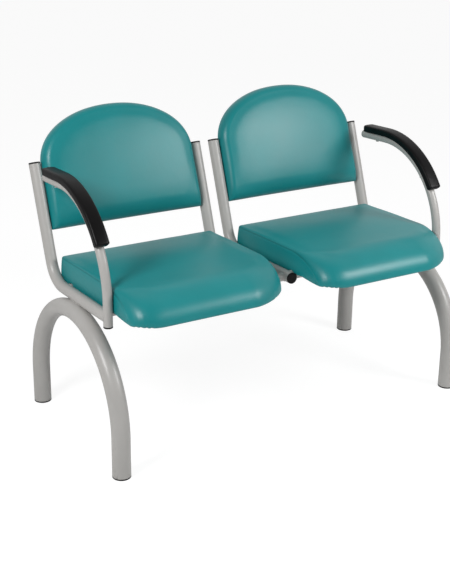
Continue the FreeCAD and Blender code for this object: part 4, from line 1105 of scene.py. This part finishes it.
def filling_swell(name, grid, held, pads):
    """How far the filling pushes each point of a pad's grid, from a cloth of even cells.

    The cloth is blown up over a few frames with its held points kept in place. A grid point moves
    as the mean of its nearest cloth points weighted by exp(-(distance / calm)^2), and a long move d
    is eased to limit * tanh(d / limit)."""
    scene = bpy.context.scene
    cover = even_cover(name + "_cover", grid, pads.cover_cell)
    before = points_of(cover.data)
    cover.vertex_groups.new(name="held").add(np.flatnonzero(held(before)).tolist(), 1.0, "REPLACE")
    cloth = cover.modifiers.new("cover", "CLOTH")
    cloth.settings.vertex_group_mass = "held"
    cloth.settings.use_pressure = True
    cloth.settings.uniform_pressure_force = pads.pressure
    cloth.settings.effector_weights.gravity = 0
    cloth.point_cache.frame_start, cloth.point_cache.frame_end = 1, pads.fill_frames
    for number in range(1, pads.fill_frames + 1):
        scene.frame_set(number)
    moves = points_of(cover.evaluated_get(bpy.context.evaluated_depsgraph_get()).data) - before
    bpy.data.objects.remove(cover)
    scene.frame_set(1)

    finder = KDTree(len(before))
    for number, point in enumerate(before):
        finder.insert(point, number)
    finder.balance()
    near = [finder.find_n(point, NEIGHBOURS) for point in grid.reshape(-1, 3)]
    number = np.array([[found[1] for found in row] for row in near])
    apart = np.array([[found[2] for found in row] for row in near])
    weight = np.exp(-(apart / pads.cover_calm) ** 2) + TINY
    move = (moves[number] * weight[..., None]).sum(axis=1) / weight.sum(axis=1, keepdims=True)
    size = np.linalg.norm(move, axis=1, keepdims=True) + TINY
    return (move / size * pads.swell_limit * np.tanh(size / pads.swell_limit)).reshape(grid.shape)


def cushions(kind, points, seam, at, finish, corner, forward, upward):
    """Sets a filled pad on both seats. Its own axes start at a corner of the upright plane."""
    for side_name, side in SIDES.items():
        grid = placed(points, upright(corner, side * at.seat_x), upright(forward), upright(upward))
        # The seam mark goes with the points, for painted shade along the seam.
        pad = piece(f"{kind}_pad_{side_name}", [(grid, False, True)], teal_vinyl(finish), "teal_vinyl",
                    f"{kind}_cushion_{side_name}", sharp=70.0, marks={"seam": seam})


# Arm pads

def arm_pad_section(pads, tubes):
    """Across an arm pad: a top raised by crown cos(90 degrees x / half) with quarter-circle edges,
    straight sides, and a groove sqrt(r^2 - x^2) for the tube."""
    half, low = pads.pad_width / 2, pads.pad_lift
    high = low + pads.pad_thick
    rim, small, crown = pads.pad_round, 0.0025, 0.0008
    quarter = np.linspace(0, math.pi / 2, 9)
    lower_right = np.stack([half - small + small * np.sin(quarter),
                            low + small - small * np.cos(quarter)], axis=1)
    upper_right = np.stack([half - rim + rim * np.cos(quarter),
                            high - rim + rim * np.sin(quarter)], axis=1)
    top_x = np.linspace(half - rim, rim - half, 14)[1:-1]
    top = np.stack([top_x, high + crown * np.cos(top_x / half * math.pi / 2)], axis=1)
    mirror = np.array([-1, 1])
    groove = tubes.arm_tube / 2
    under_x = np.linspace(small - half, half - small, 30)[1:-1]
    hollow = np.sqrt(np.maximum(groove ** 2 - under_x ** 2, 0))
    under = np.stack([under_x, np.maximum(low, hollow)], axis=1)
    return np.concatenate([lower_right, upper_right, top, upper_right[::-1] * mirror,
                           lower_right[::-1] * mirror, under])


def arm_pad_grid(pads, tubes, at, x):
    """An arm pad: its section carried along the arm's bend and tail, axis + x across + z square to it.

    Both ends are rounded over: the section is drawn in by rim (1 - sin a) at a run of rim (1 - cos a)."""
    foot = at.arm_centre + tubes.arm_bend * np.array([-math.cos(pads.pad_foot), math.sin(pads.pad_foot)])
    bend = tubes.arm_turn - pads.pad_foot
    path = route(foot, math.pi / 2 - pads.pad_foot, [(tubes.arm_bend, -bend), (pads.pad_tail,)],
                 step=0.006, turn_step=1.5)
    along = headings(path)
    run = np.concatenate([[0], np.cumsum(np.linalg.norm(np.diff(path, axis=0), axis=1))])
    rim = 0.005
    turn = np.linspace(0, math.pi / 2, 8)
    ends = rim * (1 - np.cos(turn))
    middle_run = np.linspace(ends[-1], run[-1] - ends[-1], 130)[1:-1]
    places = np.concatenate([[0], ends, middle_run, run[-1] - ends[::-1], [run[-1]]])
    inset = np.concatenate([[1], 1 - np.sin(turn), 0 * middle_run, 1 - np.sin(turn[::-1]), [1]])
    centre = np.array([0, pads.pad_lift + pads.pad_thick / 2])
    section = arm_pad_section(pads, tubes)
    size = 1 - inset * (rim / (pads.pad_thick / 2))
    size[[0, -1]] = 0
    rings = centre + (section - centre) * size[:, None, None]
    axis = np.stack([np.interp(places, run, path[:, part]) for part in (0, 1)], axis=1)
    ahead = np.stack([np.interp(places, run, along[:, part]) for part in (0, 1)], axis=1)
    square = np.stack([-ahead[:, 1], ahead[:, 0]], axis=1)
    flat = axis[:, None] + rings[..., 1:] * square[:, None]
    return np.concatenate([x + rings[..., :1], flat], axis=-1), False, True


# Operators

def user_values(context):
    """The sizes of the tubes and of the pads, and the colours."""
    scene = context.scene
    return scene.seating_tubes, scene.seating_pads, scene.seating_finish


class SEATING_OT_frame_tubes(bpy.types.Operator):
    """Bends the arch legs, the side tubes and the arms, and sets the cross tubes between them"""
    bl_idname = "seating.frame_tubes"
    bl_label = "Frame tubes"

    def execute(self, context):
        tubes, _, finish = user_values(context)
        at = layout(tubes)
        paint = powder_coat(finish)
        for side_name, side in SIDES.items():
            piece("leg_tube_" + side_name, [arch_leg_grid(tubes, at, side * at.leg_x)], paint,
                  "frame_paint", "arch_leg_" + side_name)
            rails = (("outer", at.outer_x, tubes.cap + tubes.post_ahead), ("inner", at.inner_x, 0.0))
            for place, x, ahead in rails:
                piece(f"back_tube_{place}_{side_name}", [side_tube_grid(tubes, at, side * x, ahead)],
                      paint, "frame_paint", f"side_tube_{place}_{side_name}")
            piece("arm_tube_" + side_name, [arm_grid(tubes, at, side * at.outer_x)], paint,
                  "frame_paint", "arm_" + side_name)
        spans = {"left": (-at.outer_x, -at.inner_x), "link": (-at.inner_x, at.inner_x),
                 "right": (at.inner_x, at.outer_x)}
        into_rail = 0.003
        inset = tubes.rail_tube / 2 - into_rail
        for row, along in (("front", tubes.front_cross), ("rear", tubes.rear_cross)):
            for span, (x_from, x_to) in spans.items():
                grid = cross_tube_grid(tubes, at, x_from + inset, x_to - inset, along)
                piece(f"cross_bar_{row}_{span}", [grid], paint, "frame_paint",
                      f"cross_tube_{row}_{span}")
        return {"FINISHED"}


class SEATING_OT_welds(bpy.types.Operator):
    """Lays the weld beads where the tubes meet"""
    bl_idname = "seating.welds"
    bl_label = "Welds"

    def execute(self, context):
        tubes, _, finish = user_values(context)
        at = layout(tubes)
        rings = []
        for along in (tubes.front_cross, tubes.rear_cross):
            for side in SIDES.values():
                rings.append(ring_weld(tubes, at, side * at.outer_x, -side, along))
                rings.append(ring_weld(tubes, at, side * at.inner_x, side, along))
                rings.append(ring_weld(tubes, at, side * at.inner_x, -side, along))
        saddles = [saddle_weld(tubes, at, side) for side in SIDES.values()]
        posts = [post_weld(tubes, at, side) for side in SIDES.values()]
        paint = powder_coat(finish)
        welds = {"cross_tube_welds": rings, "saddle_welds": saddles, "arm_post_welds": posts}
        for name, grids in welds.items():
            piece(name, grids, paint, "frame_paint", sharp=80.0)
        return {"FINISHED"}


class SEATING_OT_caps(bpy.types.Operator):
    """Turns the tube caps and the glides"""
    bl_idname = "seating.caps"
    bl_label = "Caps and glides"

    def execute(self, context):
        tubes, _, finish = user_values(context)
        at = layout(tubes)
        black = black_plastic(finish)
        rail_profile = cap_profile(tubes.rail_tube / 2, tubes.cap)
        arm_profile = cap_profile(tubes.arm_tube / 2, tubes.cap)
        for side_name, side in SIDES.items():
            for place, x in (("outer", at.outer_x), ("inner", at.inner_x)):
                seat = upright(at.back_top - at.back_along * tubes.cap, side * x)
                self.cap(f"tube_plug_{place}_{side_name}", rail_profile, seat, upright(at.back_along),
                         black, f"top_cap_{place}_{side_name}")
            seat = upright(at.rail_front + at.rail_along * tubes.cap, side * at.inner_x)
            self.cap("rail_plug_" + side_name, rail_profile, seat, -upright(at.rail_along), black,
                     "rail_cap_" + side_name)
            seat = upright(at.post_foot + np.array([0, tubes.cap]), side * at.outer_x)
            self.cap("post_plug_" + side_name, arm_profile, seat, np.array([0.0, 0.0, -1.0]), black,
                     "post_cap_" + side_name)
            seat = upright(at.arm_end - at.arm_tail_along * tubes.cap, side * at.outer_x)
            self.cap("arm_plug_" + side_name, arm_profile, seat, upright(at.arm_tail_along),
                     powder_coat(finish), "arm_cap_" + side_name, "frame_paint")
            for end_name, end in (("front", -1), ("rear", 1)):
                foot = np.array([side * at.leg_x, at.middle_y + end * at.leg_radius, 0.0])
                piece(f"foot_{end_name}_{side_name}", [lathe(glide_profile(tubes), foot, (0, 0, 1))],
                      black, "black_plastic", f"glide_{end_name}_{side_name}")
        return {"FINISHED"}

    def cap(self, name, profile, seat, axis, finish, node, slot="black_plastic"):
        piece(name, [lathe(profile, seat, axis)], finish, slot, node)


class SEATING_OT_seat_pads(bpy.types.Operator):
    """Shapes, fills and stitches the two seat pads"""
    bl_idname = "seating.seat_pads"
    bl_label = "Seat pads"

    def execute(self, context):
        tubes, pads, finish = user_values(context)
        at = layout(tubes)
        crossings = (tubes.front_cross, tubes.rear_cross)
        plain = seat_pad_grid(pads, crossings)
        panel_margin = 0.001

        def held(points):
            """The underside and the side panels, which the board and the seams keep in place."""
            return ((points[:, 2] < pads.seat_lift + pads.seat_tuck)
                    | (np.abs(points[:, 0]) > pads.seat_width / 2 - panel_margin))

        # seam marks where the vinyl paints shade along the side seams.
        stitched, seam = seat_stitching(pads, crossings, plain)
        filled = plain + filling_swell("seat", plain, held, pads) + stitched
        points = beside_rails(filled, tubes, at, pads)
        cushions("seat", points, seam, at, finish, at.rail_front, at.rail_along, at.rail_up)
        return {"FINISHED"}


class SEATING_OT_back_pads(bpy.types.Operator):
    """Shapes and fills the two back pads"""
    bl_idname = "seating.back_pads"
    bl_label = "Back pads"

    def execute(self, context):
        tubes, pads, finish = user_values(context)
        at = layout(tubes)
        plain = back_pad_grid(pads)
        flank_margin, corner_calm = 0.002, 0.075

        def held(points):
            """The rear and the flanks, which the board keeps in place."""
            return points[:, 2] < pads.back_flank + flank_margin

        swell = filling_swell("back", plain, held, pads)
        foot = -(pads.back_side + pads.back_shoulder)
        to_corner = np.hypot(pads.back_half - np.abs(plain[..., 0]), plain[..., 1] - foot)
        points = plain + swell * (1 - np.exp(-(to_corner / corner_calm) ** 2))[..., None]
        no_seam = np.zeros(points.shape[:2])
        cushions("back", points, no_seam, at, finish, at.back_top, at.back_along, at.back_forward)
        return {"FINISHED"}


class SEATING_OT_arm_pads(bpy.types.Operator):
    """Moulds the two arm pads"""
    bl_idname = "seating.arm_pads"
    bl_label = "Arm pads"

    def execute(self, context):
        tubes, pads, finish = user_values(context)
        at = layout(tubes)
        for side_name, side in SIDES.items():
            pad = piece("arm_rest_" + side_name, [arm_pad_grid(pads, tubes, at, side * at.outer_x)],
                        moulded_foam(finish), "arm_pad_black", "arm_pad_" + side_name, sharp=50.0)
        return {"FINISHED"}


class SEATING_OT_small_parts(bpy.types.Operator):
    """Gives the boards, liners, covers, tabs, lugs, screws and nuts their finishes"""
    bl_idname = "seating.small_parts"
    bl_label = "Small parts"

    def execute(self, context):
        _, _, finish = user_values(context)
        finishes = {
            "seat_board": plywood, "back_board": plywood,
            "seat_liner": woven_cloth, "back_cover": cover_sheet,
            "seat_tabs": powder_coat, "back_lugs": powder_coat,
            "seat_screws": zinc_steel, "back_screws": zinc_steel, "arm_pad_screws": powder_coat,
            "seat_tee_nuts": zinc_steel, "back_tee_nuts": zinc_steel,
        }
        for name, make in finishes.items():
            for side_name in SIDES:
                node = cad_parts[f"{name}_{side_name}"]
                node.data.materials.clear()
                node.data.materials.append(make(finish))
        return {"FINISHED"}


class SEATING_OT_stage(bpy.types.Operator):
    """Sets the floor, the lamps, the surroundings and the camera"""
    bl_idname = "seating.stage"
    bl_label = "Stage"

    def execute(self, context):
        studio = context.scene.seating_studio
        self.floor(studio)
        self.lamp("key_lamp", studio.key, size=(0.75, 0.75), place=(-2.28, -0.81, 1.97),
                  target=(-0.1, 0, 0.45))
        self.lamp("side_lamp", studio.side, size=(0.6, 0.7), place=(1.25, -1.40, 1.55),
                  target=(0.1, 0, 0.5))
        self.lamp("front_lamp", studio.front, size=(0.9, 0.7), place=(0.55, -1.90, 1.60),
                  target=(-0.1, 0.2, 0.6))
        self.surround(context.scene, studio)
        self.camera(context.scene, studio)
        context.scene.view_settings.view_transform = "Standard"
        return {"FINISHED"}

    def floor(self, studio):
        """A wide plain floor under the bench."""
        reach = 14.0
        corners = np.array([[[-reach, -reach, 0], [reach, -reach, 0]],
                            [[-reach, reach, 0], [reach, reach, 0]]])
        floor = add_object("floor", make_mesh("floor", [(corners, False, False)]))
        floor.data.materials.append(pale_floor(studio))

    def lamp(self, name, strength, size, place, target):
        """A soft rectangular lamp that shines on its target and isn't seen itself."""
        data = bpy.data.lights.new(name, "AREA")
        data.shape = "RECTANGLE"
        data.size, data.size_y = size
        data.energy = strength
        lamp = add_object(name, data)
        lamp.location = place
        lamp.visible_camera = False
        lamp.rotation_euler = (Vector(target) - Vector(place)).to_track_quat("-Z", "Y").to_euler()

    def surround(self, scene, studio):
        """Soft light all round, stronger from behind the bench, and plain white to the camera."""
        world = bpy.data.worlds.new("surround")
        scene.world = world
        graph = Graph(world)
        heading = graph.value("Value", "ShaderNodeVectorMath", {"operation": "DOT_PRODUCT"},
                              {0: graph.add("ShaderNodeTexCoord").outputs["Generated"],
                               1: (math.sin(studio.camera_turn), math.cos(studio.camera_turn), 0.0)})
        behind = heading.ramp(-0.1, 0.7)
        level = studio.sky_ahead + behind * (studio.sky_behind - studio.sky_ahead)
        seen = graph.value("Is Camera Ray", "ShaderNodeLightPath")
        light = graph.add("ShaderNodeBackground", None,
                          {"Color": WHITE, "Strength": level * (1 - seen) + seen})
        graph.add("ShaderNodeOutputWorld", None, {"Surface": light.outputs[0]})

    def camera(self, scene, studio):
        """The photo's view: right and up axes turned by the roll, looking along the turn and dip."""
        turn, dip, roll = studio.camera_turn, studio.camera_dip, studio.camera_roll
        ahead = Vector((math.sin(turn) * math.cos(dip), math.cos(turn) * math.cos(dip), -math.sin(dip)))
        level = Vector((math.cos(turn), -math.sin(turn), 0))
        upward = level.cross(ahead)
        right = math.cos(roll) * level + math.sin(roll) * upward
        above = math.cos(roll) * upward - math.sin(roll) * level
        data = bpy.data.cameras.new("camera")
        data.lens = studio.camera_lens
        camera = add_object("camera", data)
        camera.matrix_world = Matrix.Translation(studio.camera_place) @ Matrix(
            (right, above, -ahead)).transposed().to_4x4()
        scene.camera = camera


class SEATING_PT_panel(bpy.types.Panel):
    """Lists the steps that dress the bench"""
    bl_idname = "SEATING_PT_panel"
    bl_label = "Beam seating"
    bl_space_type = "VIEW_3D"
    bl_region_type = "UI"
    bl_category = "Seating"

    def draw(self, context):
        for step in STEPS:
            self.layout.operator(step.bl_idname)
        for group in ("seating_tubes", "seating_pads", "seating_finish", "seating_studio"):
            box = self.layout.box()
            values = getattr(context.scene, group)
            for name in values.__annotations__:
                box.prop(values, name)


STEPS = (SEATING_OT_frame_tubes, SEATING_OT_welds, SEATING_OT_caps, SEATING_OT_seat_pads,
         SEATING_OT_back_pads, SEATING_OT_arm_pads, SEATING_OT_small_parts, SEATING_OT_stage)
GROUPS = {"seating_tubes": SeatingTubes, "seating_pads": SeatingPads,
          "seating_finish": SeatingFinish, "seating_studio": SeatingStudio}


def register():
    for item in (*GROUPS.values(), *STEPS, SEATING_PT_panel):
        bpy.utils.register_class(item)
    for name, group in GROUPS.items():
        setattr(bpy.types.Scene, name, PointerProperty(type=group))


def unregister():
    for name in GROUPS:
        delattr(bpy.types.Scene, name)
    for item in (SEATING_PT_panel, *reversed(STEPS), *GROUPS.values()):
        bpy.utils.unregister_class(item)


def main():
    register()
    bpy.ops.seating.frame_tubes()
    bpy.ops.seating.welds()
    bpy.ops.seating.caps()
    bpy.ops.seating.seat_pads()
    bpy.ops.seating.back_pads()
    bpy.ops.seating.arm_pads()
    bpy.ops.seating.small_parts()
    bpy.ops.seating.stage()


if __name__ == "__main__":
    main()
